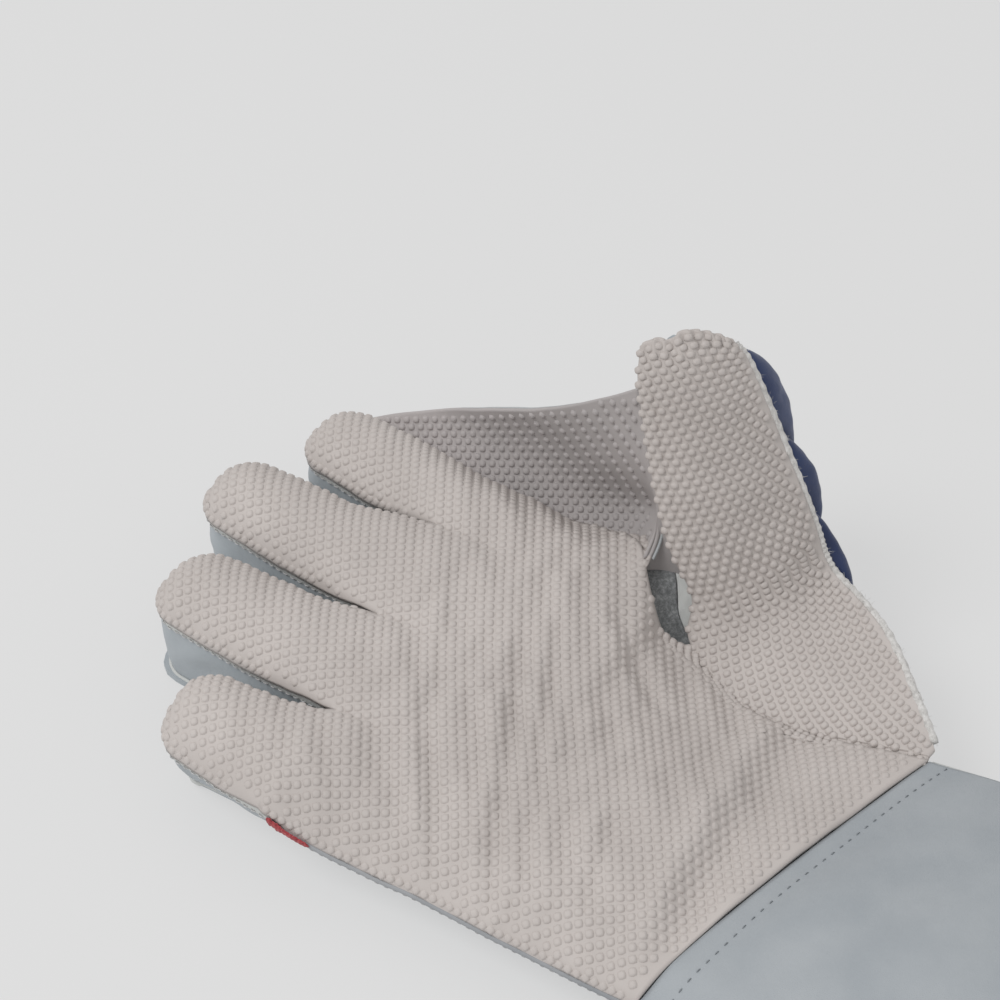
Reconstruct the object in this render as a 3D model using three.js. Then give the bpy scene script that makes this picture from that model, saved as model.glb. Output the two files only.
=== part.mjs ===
// Wicketkeeping glove for the right hand, lying palm up on its flattened back.
// X runs across the palm toward the thumb, Y toward the fingertips, Z up.
// The shape is first laid out from the crotch between middle and ring finger,
// then the whole glove is moved so that the middle of its footprint is the origin.
import * as THREE from 'three';

// Driving dimensions, in millimetres
const palmWidth = 131;
const palmLength = 128;
const fingerReach = 75;
const gloveThickness = 32;
const fingerCrown = 7.5;
const crotchCrown = 3;
const tipRadius = 11;
const tipTurn = 1.36;
const slitSpread = 7;
const thumbHeight = 98;
const thumbWidth = 36;
const thumbDepth = 24;
const thumbTipRise = 5.5;
const cuffLength = 92;
const cuffMouthWidth = 124;
const cuffMouthHeight = 44;
const cuffCorner = 14;

// Sheet thicknesses
const rubberSheet = 2.4;
const wallLeather = 1.8;
const backLeather = 1.8;
const thumbLeather = 1.8;
const webRubber = 1.8;
const webLining = 1.2;
const suedeSheet = 1.4;
const cuffSheet = 3;
const bindingSheet = 1.2;
const bindingDepth = 2.6;
const padThickness = 4.5;
const padBorder = 1.2;
const trimLength = 15;
const trimHeight = 3;
const trimThickness = 1.2;

// Fits and overlaps between the pieces
const gap = 0.3;
const rubberOverhang = 1.2;
const rimClearance = 2.2;
const footInset = 1.8;
const ulnarFoot = 15;
const littleFoot = 11;
const wallCurve = 1.5;

// Mesh fineness
const cellsPerFinger = 4;
const straightSteps = 4;
const roundSteps = 4;
const palmSteps = 16;
const wallSteps = 3;
const outerWallSteps = 10;
const thumbColumns = 18;
const thumbRows = 7;
const normalStep = 0.02;

// Four fingers from little to index. Left and right are places across the
// knuckles as shares of palm width, knuckle is how far forward the right side's
// slit ends as a share of palm length, and reach is a share of the longest
// finger. The cuts say how much of the slit spread each side gives at the tip,
// and the rims are its edge heights as shares of glove thickness.
const fingers = [
  { name: 'little', left: 0.014, right: 0.256, knuckle: -0.082, reach: 0.39,
    ulnarCut: 0.3, radialCut: 0.6, ulnarRim: 0.66, radialRim: 0.8 },
  { name: 'ring', left: 0.256, right: 0.504, knuckle: 0.0, reach: 0.8,
    ulnarCut: 0.15, radialCut: 0.55, ulnarRim: 0.81, radialRim: 0.8 },
  { name: 'middle', left: 0.504, right: 0.764, knuckle: 0.047, reach: 0.98,
    ulnarCut: 0.5, radialCut: 0.45, ulnarRim: 0.82, radialRim: 0.82 },
  { name: 'index', left: 0.764, right: 0.996, knuckle: 0.06, reach: 0.83,
    ulnarCut: 0.7, radialCut: -0.3, ulnarRim: 0.83, radialRim: 0.78 },
];

// Palm rows from the crotch line to the cuff seam. Places across are shares of
// palm width, places along are shares of palm length, heights are shares of
// glove thickness: rubber edge, shoulder, centre, ridge, and the thumb-side rim.
const palmRows = [
  { yLeft: -0.085, yRight: 0.06, xLeft: 0.014, xRight: 0.996,
    edge: 0.7, shoulder: 0.87, centre: 0.93, ridge: 1.0, rim: 0.76 },
  { yLeft: -0.15, yRight: -0.06, xLeft: 0.016, xRight: 1.0,
    edge: 0.63, shoulder: 0.87, centre: 0.97, ridge: 1.02, rim: 0.74 },
  { yLeft: -0.225, yRight: -0.16, xLeft: 0.024, xRight: 0.996,
    edge: 0.58, shoulder: 0.85, centre: 0.98, ridge: 1.03, rim: 0.77 },
  { yLeft: -0.29, yRight: -0.25, xLeft: 0.033, xRight: 0.985,
    edge: 0.55, shoulder: 0.83, centre: 0.97, ridge: 1.03, rim: 0.88 },
  { yLeft: -0.35, yRight: -0.325, xLeft: 0.04, xRight: 0.955,
    edge: 0.53, shoulder: 0.82, centre: 0.95, ridge: 1.0, rim: 1.05 },
  { yLeft: -0.41, yRight: -0.38, xLeft: 0.047, xRight: 0.902,
    edge: 0.53, shoulder: 0.81, centre: 0.93, ridge: 0.94, rim: 1.07 },
  { yLeft: -0.47, yRight: -0.43, xLeft: 0.05, xRight: 0.862,
    edge: 0.53, shoulder: 0.8, centre: 0.92, ridge: 0.82, rim: 0.84 },
  { yLeft: -0.52, yRight: -0.475, xLeft: 0.052, xRight: 0.85,
    edge: 0.53, shoulder: 0.8, centre: 0.92, ridge: 0.68, rim: 0.58 },
  { yLeft: -0.59, yRight: -0.56, xLeft: 0.054, xRight: 0.835,
    edge: 0.53, shoulder: 0.8, centre: 0.92, ridge: 0.6, rim: 0.5 },
  { yLeft: -0.67, yRight: -0.67, xLeft: 0.057, xRight: 0.8,
    edge: 0.54, shoulder: 0.8, centre: 0.92, ridge: 0.6, rim: 0.48 },
  { yLeft: -0.76, yRight: -0.8, xLeft: 0.06, xRight: 0.79,
    edge: 0.55, shoulder: 0.79, centre: 0.9, ridge: 0.64, rim: 0.52 },
  { yLeft: -0.84, yRight: -0.94, xLeft: 0.062, xRight: 0.81,
    edge: 0.57, shoulder: 0.78, centre: 0.87, ridge: 0.7, rim: 0.62 },
  { yLeft: -0.91, yRight: -1.085, xLeft: 0.064, xRight: 0.835,
    edge: 0.6, shoulder: 0.78, centre: 0.84, ridge: 0.78, rim: 0.74 },
];
const profilePlaces = [0, 0.12, 0.48, 0.87, 1];
const profileNames = ['edge', 'shoulder', 'centre', 'ridge', 'rim'];

// Thumb rubber from the cuff to the tip. Places across are shares of palm
// width, along of palm length, up of thumb height; left is the side that meets
// the palm crease, the hole and the web, right is the outer edge; bulge is the
// crown of the face as a share of thumb width.
const thumbTable = [
  { lx: 0.845, ly: -1.08, lz: 0.242, rx: 0.862, ry: -1.085, rz: 0.242, bulge: 0.0 },
  { lx: 0.822, ly: -0.94, lz: 0.2, rx: 0.93, ry: -0.995, rz: 0.29, bulge: 0.03 },
  { lx: 0.802, ly: -0.8, lz: 0.165, rx: 1.015, ry: -0.885, rz: 0.33, bulge: 0.07 },
  { lx: 0.812, ly: -0.67, lz: 0.155, rx: 1.06, ry: -0.79, rz: 0.35, bulge: 0.1 },
  { lx: 0.847, ly: -0.56, lz: 0.165, rx: 1.077, ry: -0.725, rz: 0.375, bulge: 0.12 },
  { lx: 0.872, ly: -0.505, lz: 0.205, rx: 1.081, ry: -0.695, rz: 0.42, bulge: 0.12 },
  { lx: 0.903, ly: -0.49, lz: 0.3, rx: 1.084, ry: -0.675, rz: 0.475, bulge: 0.12 },
  { lx: 0.905, ly: -0.432, lz: 0.425, rx: 1.088, ry: -0.635, rz: 0.575, bulge: 0.13 },
  { lx: 0.918, ly: -0.385, lz: 0.57, rx: 1.093, ry: -0.58, rz: 0.7, bulge: 0.14 },
  { lx: 0.935, ly: -0.343, lz: 0.72, rx: 1.095, ry: -0.525, rz: 0.83, bulge: 0.13 },
  { lx: 0.955, ly: -0.305, lz: 0.885, rx: 1.095, ry: -0.472, rz: 0.95, bulge: 0.1 },
  { lx: 0.975, ly: -0.29, lz: 0.985, rx: 1.09, ry: -0.44, rz: 1.0, bulge: 0.05 },
];
const holeShare = 0.6;
const webSideShare = 0.35;
const outerSideShare = 0.45;
const webSideDepth = 0.55;
const thumbRimInset = 0.04;
const thumbRimTop = 0.98;
const thumbLean = 0.4;
const bellyReach = 1.02;
const bellyFullness = 0.7;

// Floor line of the thumb's leather back, from the index side round to the cuff
const thumbFoot = [
  { across: 1.02, along: -0.25 },
  { across: 1.06, along: -0.29 },
  { across: 1.095, along: -0.38 },
  { across: 1.11, along: -0.5 },
  { across: 1.105, along: -0.64 },
  { across: 1.08, along: -0.78 },
  { across: 1.01, along: -0.91 },
  { across: 0.92, along: -1.02 },
  { across: 0.855, along: -1.08 },
];

// Foot of the web along the index finger and the palm, places as above, up as
// a share of glove thickness
const webFoot = [
  { across: 1.016, along: 0.43, up: 0.72 },
  { across: 1.014, along: 0.24, up: 0.68 },
  { across: 1.006, along: 0.0, up: 0.58 },
  { across: 1.012, along: -0.16, up: 0.62 },
  { across: 1.008, along: -0.27, up: 0.78 },
  { across: 0.966, along: -0.34, up: 1.03 },
  { across: 0.915, along: -0.376, up: 1.1 },
];
const webScoop = 12;
const skewPeak = 4 / 27;
const webSag = 7;
const webStandOff = 4;
const webThumbFrom = 0.09;
const webThumbTo = 0.258;
const webScoopFoot = 0.15;

// Hole between palm, web and thumb, as shares along the palm's rim
const holeTop = 0.37;
const holeBottom = 0.62;
const holePalmPlace = 0.97;
const holeThumbPlace = 0.1;
const holeThumbTop = 0.56;
const holeThumbBottom = 0.34;
const holeDish = { x: 0.8, y: 0.5, z: -0.3 };
const suedeShare = 0.68;
const bandStart = 0.72;
const patchDrop = 1.4;
const patchDish = 5;

// Cuff: how far below the rubber it starts, its sideways shift and crown
const cuffStep = 1;
const cuffShift = -4;
const cuffCrown = 5;
const cuffSeamShare = 0.5;
const cuffSideShare = 0.2;
const cuffMouthTurn = 0.97;
const cuffColumns = 14;

// Red bar: place along the outer edge of the palm, and drop below the rubber's top
const trimPlace = 0.02;
const trimDrop = 0.3;

// The three navy pads up the back of the thumb, by share along its outer edge
const thumbPads = [
  { name: 'thumb_pad_tip', from: 0.46, to: 0.553, low: 0.07, high: 0.36 },
  { name: 'thumb_pad_middle', from: 0.563, to: 0.622, low: 0.07, high: 0.4 },
  { name: 'thumb_pad_base', from: 0.632, to: 0.755, low: 0.11, high: 0.46 },
];

const colours = {
  rubber: { color: 0xc8beba, roughness: 0.75, metalness: 0 },
  web: { color: 0x969191, roughness: 0.75, metalness: 0 },
  leather: { color: 0x9fa8ac, roughness: 0.6, metalness: 0 },
  navy: { color: 0x192d55, roughness: 0.4, metalness: 0 },
  suede: { color: 0x626863, roughness: 0.95, metalness: 0 },
  trim: { color: 0xaa463c, roughness: 0.7, metalness: 0 },
};

const glove = new THREE.Group();

const lerp = (a, b, t) => a + (b - a) * t;
const clamp = (t) => Math.min(1, Math.max(0, t));
const smooth = (t) => clamp(t) * clamp(t) * (3 - 2 * clamp(t));

// Smooth curve through values at rising places
function spline(places, values, t) {
  const last = places.length - 1;
  let k = 0;
  while (k < last - 1 && t > places[k + 1]) {
    k += 1;
  }
  const slope = (i) => {
    const a = Math.max(0, i - 1);
    const b = Math.min(last, i + 1);
    return (values[b] - values[a]) / (places[b] - places[a]);
  };
  const span = places[k + 1] - places[k];
  const s = clamp((t - places[k]) / span);
  const h = s * s * (3 - 2 * s);
  return values[k] * (1 - h) + values[k + 1] * h
    + span * (s * (1 - s) * (1 - s) * slope(k) - s * s * (1 - s) * slope(k + 1));
}

// One column of a table, read at a share t of its length
function column(table, name, t) {
  const places = table.map((row, i) => i / (table.length - 1));
  return spline(places, table.map((row) => row[name]), clamp(t));
}

// Places across are measured from the slit between middle and ring finger
const acrossToX = (share) => (share - fingers[2].left) * palmWidth;

// The knuckle line: slit ends and the two outer corners
const knuckleEnd = fingers[fingers.length - 1].right;
const knucklePlace = (across) => (across - fingers[0].left) / (knuckleEnd - fingers[0].left);
const slitPlaces = [fingers[0].left, ...fingers.map((f) => f.right)].map(knucklePlace);
const slitForward = [palmRows[0].yLeft, ...fingers.map((f) => f.knuckle)];

// Closed body from matching outer and inner points and a list of four-sided
// cells; every edge that only one cell uses gets a rim
function shell(outer, inner, cells) {
  const count = outer.length;
  const triangles = [];
  const edges = new Map();
  for (const cell of cells) {
    const [a, b, c, d] = cell;
    triangles.push(a, b, c, a, c, d);
    triangles.push(count + a, count + c, count + b, count + a, count + d, count + c);
    for (let i = 0; i < 4; i += 1) {
      const from = cell[i];
      const to = cell[(i + 1) % 4];
      if (edges.has(`${to}_${from}`)) {
        edges.delete(`${to}_${from}`);
      } else {
        edges.set(`${from}_${to}`, [from, to]);
      }
    }
  }
  for (const [from, to] of edges.values()) {
    triangles.push(from, count + from, count + to, from, count + to, to);
  }
  const geometry = new THREE.BufferGeometry();
  const points = [...outer, ...inner].flatMap((p) => [p.x, p.y, p.z]);
  geometry.setAttribute('position', new THREE.Float32BufferAttribute(points, 3));
  geometry.setIndex(triangles);
  geometry.computeVertexNormals();
  return geometry;
}

// Cells of a grid whose points are stored row after row
function gridCells(rows, columns) {
  const cells = [];
  for (let r = 0; r < rows; r += 1) {
    for (let c = 0; c < columns; c += 1) {
      const a = r * (columns + 1) + c;
      cells.push([a, a + 1, a + columns + 2, a + columns + 1]);
    }
  }
  return cells;
}

// Grid of points of a surface, both parameters from 0 to 1
function gridPoints(rows, columns, surface) {
  const points = [];
  for (let r = 0; r <= rows; r += 1) {
    for (let c = 0; c <= columns; c += 1) {
      points.push(surface(c / columns, r / rows));
    }
  }
  return points;
}

// Normals of a grid from its own points
function gridNormals(points, rows, columns) {
  const at = (r, c) => points[r * (columns + 1) + c];
  const normals = [];
  for (let r = 0; r <= rows; r += 1) {
    for (let c = 0; c <= columns; c += 1) {
      const along = at(Math.min(rows, r + 1), c).clone().sub(at(Math.max(0, r - 1), c));
      const across = at(r, Math.min(columns, c + 1)).clone().sub(at(r, Math.max(0, c - 1)));
      normals.push(across.cross(along).normalize());
    }
  }
  return normals;
}

// Sheet of even thickness behind a grid surface, optionally set back or dished
function sheet(rows, columns, surface, thickness, setBack = 0) {
  const points = gridPoints(rows, columns, surface);
  const normals = gridNormals(points, rows, columns);
  const outer = points.map((p, i) => p.clone().addScaledVector(normals[i], -setBack));
  const inner = points.map((p, i) => p.clone().addScaledVector(normals[i], -setBack - thickness));
  return shell(outer, inner, gridCells(rows, columns));
}

function addPiece(name, geometry, finish) {
  const material = new THREE.MeshStandardMaterial(finish);
  const mesh = new THREE.Mesh(geometry, material);
  mesh.name = name;
  glove.add(mesh);
  return mesh;
}

// Palm surface without the finger crowns
function palmPoint(u, v) {
  const x = lerp(column(palmRows, 'xLeft', v), column(palmRows, 'xRight', v), u);
  const forward = spline(slitPlaces, slitForward, u);
  const straight = lerp(column(palmRows, 'yLeft', v), column(palmRows, 'yRight', v), u);
  const crotchBend = forward - lerp(slitForward[0], slitForward[fingers.length], u);
  const y = straight + crotchBend * (1 - smooth(v * 2.5));
  const heights = profileNames.map((name) => column(palmRows, name, v));
  const z = spline(profilePlaces, heights, u) * gloveThickness;
  const crowned = crotchCrown * crownShare(x) * (1 - smooth(v * 5));
  return new THREE.Vector3(acrossToX(x), y * palmLength, z + crowned);
}

// How far a place across the knuckles is up the crown of its finger
function crownShare(across) {
  const finger = fingers.find((f) => across <= f.right + 1e-9) || fingers[3];
  const s = (across - finger.left) / (finger.right - finger.left) * 2 - 1;
  return 1 - s * s;
}

// Finger surface: s from -1 on the little-finger side to 1, t from crotch to tip
function fingerPoint(finger, s, t) {
  const total = straightSteps + roundSteps;
  const step = t * total;
  const turn = Math.max(0, step - straightSteps) / roundSteps;
  const angle = turn * tipTurn;
  const along = Math.min(1, step / straightSteps);
  const across = lerp(finger.left, finger.right, (s + 1) / 2);
  const base = palmPoint(knucklePlace(across), 0);
  const leftX = acrossToX(finger.left) + finger.ulnarCut * slitSpread * along;
  const rightX = acrossToX(finger.right) - finger.radialCut * slitSpread * along;
  const inset = tipRadius * (1 - Math.cos(angle));
  const x = lerp(leftX + inset, rightX - inset, (s + 1) / 2);
  const shoulderY = finger.reach * fingerReach - tipRadius;
  const y = lerp(base.y, shoulderY, along) + tipRadius * Math.sin(angle);
  const rim = lerp(finger.ulnarRim, finger.radialRim, (s + 1) / 2) * gloveThickness;
  const edge = lerp(base.z - crotchCrown * (1 - s * s), rim, smooth(along * 1.6));
  const crown = lerp(crotchCrown, fingerCrown, smooth(along * 1.5)) * Math.cos(turn * Math.PI / 2);
  return new THREE.Vector3(x, y, edge + crown * (1 - s * s));
}

// Cells of palm and fingers in one net, with shared points at the knuckles
function handNet(palmSurface, fingerSurface) {
  const columns = cellsPerFinger * fingers.length;
  const points = gridPoints(palmSteps, columns, (u, v) => palmSurface(knuckleShare(u), v));
  const cells = gridCells(palmSteps, columns).map((cell) => [...cell].reverse());
  const rows = straightSteps + roundSteps;
  fingers.forEach((finger, f) => {
    let previous = [];
    for (let c = 0; c <= cellsPerFinger; c += 1) {
      previous.push(f * cellsPerFinger + c);
    }
    for (let r = 1; r <= rows; r += 1) {
      const current = [];
      for (let c = 0; c <= cellsPerFinger; c += 1) {
        current.push(points.length);
        points.push(fingerSurface(finger, c / cellsPerFinger * 2 - 1, r / rows));
      }
      for (let c = 0; c < cellsPerFinger; c += 1) {
        cells.push([previous[c], previous[c + 1], current[c + 1], current[c]]);
      }
      previous = current;
    }
  });
  return { points, cells };
}

// Even columns in each finger, so that a slit always starts on a grid line
function knuckleShare(u) {
  const place = u * fingers.length;
  const f = Math.min(fingers.length - 1, Math.floor(place + 1e-9));
  return knucklePlace(lerp(fingers[f].left, fingers[f].right, place - f));
}

function palmRubber() {
  const net = handNet(palmPoint, fingerPoint);
  const inner = net.points.map((p) => new THREE.Vector3(p.x, p.y, p.z - rubberSheet));
  return shell(net.points, inner, net.cells);
}

// Floor sheet: the same net drawn in by the foot inset, out to the thumb foot
function footPoint(u, v) {
  const top = palmPoint(u, v);
  const right = palmPoint(1, v);
  const reach = Math.max(-footInset, footRight(right.y) - right.x);
  const x = top.x + outerFoot(v) * (1 - u) ** 3 + reach * u * u * u;
  return new THREE.Vector3(x, top.y, backLeather);
}

// How far the palm's outer wall is drawn in where it meets the floor sheet
function outerFoot(v) {
  return lerp(littleFoot, ulnarFoot, smooth(v * 5));
}

// How far to the thumb side the floor sheet goes at a place along the palm
function footRight(y) {
  const along = y / palmLength;
  if (along > thumbFoot[0].along) {
    return -Infinity;
  }
  let k = 0;
  while (k < thumbFoot.length - 2 && along < thumbFoot[k + 1].along) {
    k += 1;
  }
  const a = thumbFoot[k];
  const b = thumbFoot[k + 1];
  return acrossToX(lerp(a.across, b.across, clamp((along - a.along) / (b.along - a.along))));
}

// How far a finger's wall is drawn in where it meets the floor sheet
function fingerFoot(finger, s, t) {
  const outer = finger === fingers[0] && s < 0;
  const start = outer ? littleFoot : rubberOverhang;
  const end = outer ? littleFoot * 0.5 : footInset;
  const from = finger === fingers[3] && s > 0 ? footInset : start;
  return lerp(from, end, smooth(t * (outer ? 1 : 3)));
}

function footFinger(finger, s, t) {
  const p = fingerPoint(finger, s, t);
  const left = fingerFoot(finger, -1, t) * (1 - s) / 2;
  const right = fingerFoot(finger, 1, t) * (1 + s) / 2;
  const tip = smooth((t - 0.6) * 2.5);
  return new THREE.Vector3(p.x + left - right, p.y - footInset * tip, backLeather);
}

function backSheet() {
  const net = handNet(footPoint, footFinger);
  const inner = net.points.map((p) => new THREE.Vector3(p.x, p.y, 0));
  return shell(net.points, inner, net.cells);
}

// How far a wall stands in from the rubber's edge, from its top to its foot
function wallInset(foot, share) {
  return lerp(rubberOverhang, foot, share ** wallCurve);
}

// Leather wall along an outline under the rubber. The outline's points run
// with the hollow on their left, and each carries the height of the rubber.
function wall(outline, thickness) {
  const rows = wallSteps;
  const columns = outline.length - 1;
  const normals = outline.map((p, i) => {
    const a = outline[Math.max(0, i - 1)];
    const b = outline[Math.min(columns, i + 1)];
    return new THREE.Vector3(b.y - a.y, a.x - b.x, 0).normalize();
  });
  const outer = [];
  const inner = [];
  for (let r = 0; r <= rows; r += 1) {
    outline.forEach((p, i) => {
      const top = p.z - rubberSheet - gap;
      const z = lerp(top, backLeather + gap, r / rows);
      const inset = p.foot === 0 ? 0 : wallInset(p.foot, r / rows);
      const face = new THREE.Vector3(p.x, p.y, z).addScaledVector(normals[i], -inset);
      outer.push(face);
      inner.push(face.clone().addScaledVector(normals[i], -thickness));
    });
  }
  return shell(outer, inner, gridCells(rows, columns).map((cell) => [...cell].reverse()));
}

// Point of a wall's outline, with how far its foot is drawn in
function withFoot(point, foot) {
  point.foot = foot;
  return point;
}

// Outline of one finger from its thumb-side crotch over the tip to the other
function fingerOutline(finger) {
  const rows = straightSteps + roundSteps;
  const points = [];
  for (let r = 0; r <= rows; r += 1) {
    points.push(withFoot(fingerPoint(finger, 1, r / rows), fingerFoot(finger, 1, r / rows)));
  }
  points.push(withFoot(fingerPoint(finger, 0, 1), footInset));
  for (let r = rows; r >= 0; r -= 1) {
    points.push(withFoot(fingerPoint(finger, -1, r / rows), fingerFoot(finger, -1, r / rows)));
  }
  return points;
}

// Where two walls meet at a slit end, each stops half a gap from the middle
function closeSlit(point, side) {
  const end = point.clone();
  end.x += side * (gap / 2);
  end.y -= rubberOverhang;
  return withFoot(end, 0);
}

function fingerWall(finger, index) {
  const outline = fingerOutline(finger);
  const first = outline[0];
  const last = outline[outline.length - 1];
  let head = [closeSlit(first, -1)];
  let tail = [closeSlit(last, 1)];
  if (index === fingers.length - 1) {
    head = [0.25, 0.17, 0.08].map((v) => withFoot(palmPoint(1, v), footInset));
  }
  if (index === 0) {
    tail = [];
    for (let k = 1; k <= outerWallSteps; k += 1) {
      const v = k / outerWallSteps;
      tail.push(withFoot(palmPoint(0, v), outerFoot(v)));
    }
  }
  return wall([...head, ...outline, ...tail], wallLeather);
}

// Thumb face: u from the palm or web side to the outer edge, v from cuff to tip
function thumbFace(u, v) {
  const row = (name) => column(thumbTable, name, v);
  const left = new THREE.Vector3(acrossToX(row('lx')), row('ly') * palmLength, row('lz') * thumbHeight);
  const right = new THREE.Vector3(acrossToX(row('rx')), row('ry') * palmLength, row('rz') * thumbHeight);
  const facing = new THREE.Vector3(right.y - left.y, left.x - right.x, 0).normalize();
  const bulge = row('bulge') * thumbWidth * (1 - (2 * u - 1) ** 2);
  const point = left.lerp(right, u).addScaledVector(facing, bulge);
  point.z += thumbTipRise * (1 - (2 * u - 1) ** 2) * smooth((v - 0.75) * 4);
  return point;
}

// Direction that the thumb's face looks in
function faceNormal(u, v) {
  const across = thumbFace(u + normalStep, v).sub(thumbFace(u - normalStep, v));
  const along = thumbFace(u, v + normalStep).sub(thumbFace(u, v - normalStep));
  return across.cross(along).normalize();
}

// Rim of the thumb's leather, just behind the rubber: up the web side, over
// the tip, down the outer edge and along the thenar to the cuff
function thumbRim(c) {
  let u = 1 - thumbRimInset;
  let v = lerp(thumbRimTop, 0, (c - outerSideShare) / (1 - outerSideShare));
  if (c < webSideShare) {
    u = thumbRimInset;
    v = lerp(holeShare, thumbRimTop, c / webSideShare);
  } else if (c < outerSideShare) {
    u = lerp(thumbRimInset, 1 - thumbRimInset, (c - webSideShare) / (outerSideShare - webSideShare));
    v = thumbRimTop;
  }
  const setBack = rubberSheet + rimClearance;
  const level = Math.min(v, thumbRimTop - normalStep);
  return thumbFace(u, v).addScaledVector(faceNormal(u, level), -setBack);
}

// Leather back of the thumb: c round its rim, r from the rim down to the floor
function thumbBack(c, r) {
  const rim = thumbRim(c);
  const foot = new THREE.Vector3(acrossToX(column(thumbFoot, 'across', c)),
    column(thumbFoot, 'along', c) * palmLength, backLeather + thumbLeather / 2);
  const away = new THREE.Vector3(1, thumbLean, 0).normalize();
  const webSide = c < webSideShare ? webSideDepth : 0;
  const lifted = Math.max(webSide, (rim.z - gloveThickness) / (thumbHeight - gloveThickness), 0);
  const belly = Math.sin(Math.PI * Math.min(1, r * bellyReach)) ** bellyFullness;
  return rim.lerp(foot, r).addScaledVector(away, thumbDepth * lifted * belly);
}

function thumbPad(pad) {
  const rows = 5;
  const columns = 5;
  const surface = (u, v) => thumbBack(lerp(pad.from, pad.to, u), lerp(pad.low, pad.high, v));
  const points = gridPoints(rows, columns, surface);
  const normals = gridNormals(points, rows, columns);
  const outer = points.map((p, i) => {
    const u = (i % (columns + 1)) / columns;
    const v = Math.floor(i / (columns + 1)) / rows;
    const dome = Math.sqrt(Math.sin(Math.PI * u) * Math.sin(Math.PI * v));
    return p.clone().addScaledVector(normals[i], gap + padBorder + (padThickness - padBorder) * dome);
  });
  const inner = points.map((p, i) => p.clone().addScaledVector(normals[i], gap));
  return shell(outer, inner, gridCells(rows, columns));
}

// Web: u from the index finger to the thumb, v from the palm to the free edge
function webPoint(u, v) {
  const foot = new THREE.Vector3(acrossToX(column(webFoot, 'across', 1 - v)),
    column(webFoot, 'along', 1 - v) * palmLength, column(webFoot, 'up', 1 - v) * gloveThickness);
  const side = thumbRim(lerp(webThumbFrom, webThumbTo, v));
  side.y += webStandOff;
  const hollow = webScoopFoot + 1.7 * v - 1.2 * v * v;
  const scoop = webScoop * hollow * u * (1 - u) ** 2 / skewPeak;
  const sag = webSag * Math.sin(Math.PI * u) * v;
  return foot.lerp(side, u).add(new THREE.Vector3(scoop, 0, -sag));
}

// Suede and leather seen through the hole between palm, web and thumb: u from
// under the palm's rim to behind the thumb's edge, v from the top of the hole
function holePoint(u, v) {
  const left = palmPoint(holePalmPlace, lerp(holeTop, holeBottom, v));
  left.z -= rubberSheet + patchDrop;
  const right = thumbFace(holeThumbPlace, lerp(holeThumbTop, holeThumbBottom, v));
  right.addScaledVector(faceNormal(holeThumbPlace, 0.5), -rubberSheet - patchDrop);
  const dish = patchDish * Math.sin(Math.PI * u);
  const way = new THREE.Vector3(holeDish.x, holeDish.y, holeDish.z);
  return left.lerp(right, u).addScaledVector(way, dish);
}

function holeSheet(from, to) {
  return sheet(6, 4, (u, v) => holePoint(lerp(from, to, u), 1 - v), suedeSheet);
}

// Cuff rim at its mouth or its seam: w from the palm seam to the mouth
function cuffTop(u, w) {
  const seam = palmPoint(u, 1);
  seam.y -= gap;
  seam.z -= cuffStep;
  const turn = (2 * u - 1) * cuffMouthTurn;
  const arch = cuffSeamShare + (1 - cuffSeamShare) * Math.sqrt(1 - turn * turn);
  const mouth = new THREE.Vector3(turn * cuffMouthWidth / 2 + cuffShift,
    -palmLength - cuffLength, cuffMouthHeight * arch);
  const point = seam.lerp(mouth, w);
  point.z += cuffCrown * Math.sin(Math.PI * w) * (1 - turn * turn);
  return point;
}

// Back half of the cuff: down from the ulnar seam, along the floor, up again
function cuffUnder(u, w) {
  const left = cuffTop(0, w);
  const right = cuffTop(1, w);
  const side = u < 0.5 ? left : right;
  const sign = u < 0.5 ? 1 : -1;
  const seamInset = u < 0.5 ? ulnarFoot : palmPoint(1, 1).x - footPoint(1, 1).x;
  const inset = lerp(seamInset, cuffCorner, w);
  const share = Math.min(u, 1 - u);
  const top = side.z - cuffSheet - gap;
  if (share < cuffSideShare) {
    const angle = (1 - share / cuffSideShare) * Math.PI / 2;
    return new THREE.Vector3(side.x + sign * inset * (1 - Math.sin(angle)),
      side.y, top * (1 - Math.cos(angle)));
  }
  const floorShare = (u - cuffSideShare) / (1 - 2 * cuffSideShare);
  const seam = footPoint(floorShare, 1);
  seam.y -= gap;
  seam.z = 0;
  const mouth = new THREE.Vector3(lerp(left.x + cuffCorner, right.x - cuffCorner, floorShare), left.y, 0);
  mouth.y = cuffTop(0.5, 1).y;
  return seam.lerp(mouth, w);
}

// Bound edge round the mouth of the cuff, a closed ring of square section
function cuffBinding() {
  const loop = [];
  for (let k = 0; k <= cuffColumns; k += 1) {
    loop.push(cuffTop(k / cuffColumns, 1));
  }
  for (let k = cuffColumns - 1; k >= 1; k -= 1) {
    loop.push(cuffUnder(k / cuffColumns, 1));
  }
  const count = loop.length;
  const inward = loop.map((p, i) => {
    const a = loop[(i + count - 1) % count];
    const b = loop[(i + 1) % count];
    return new THREE.Vector3(b.z - a.z, 0, a.x - b.x).normalize();
  });
  const outer = [];
  const inner = [];
  for (const back of [3 * gap, 3 * gap + bindingDepth]) {
    loop.forEach((p, i) => {
      const face = p.clone().addScaledVector(inward[i], -bindingSheet);
      face.y -= back;
      face.z = Math.max(0, face.z);
      outer.push(face);
      const hollow = p.clone().addScaledVector(inward[i], cuffSheet + bindingSheet);
      hollow.y -= back;
      inner.push(hollow);
    });
  }
  const cells = [];
  for (let i = 0; i < count; i += 1) {
    const next = (i + 1) % count;
    cells.push([i, i + count, next + count, next]);
  }
  return shell(outer, inner, cells);
}

// Outer edge of the palm rubber, straight between the rows of its net
function rubberEdge(v) {
  const row = Math.floor(v * palmSteps);
  return palmPoint(0, row / palmSteps).lerp(palmPoint(0, (row + 1) / palmSteps), v * palmSteps - row);
}

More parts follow.
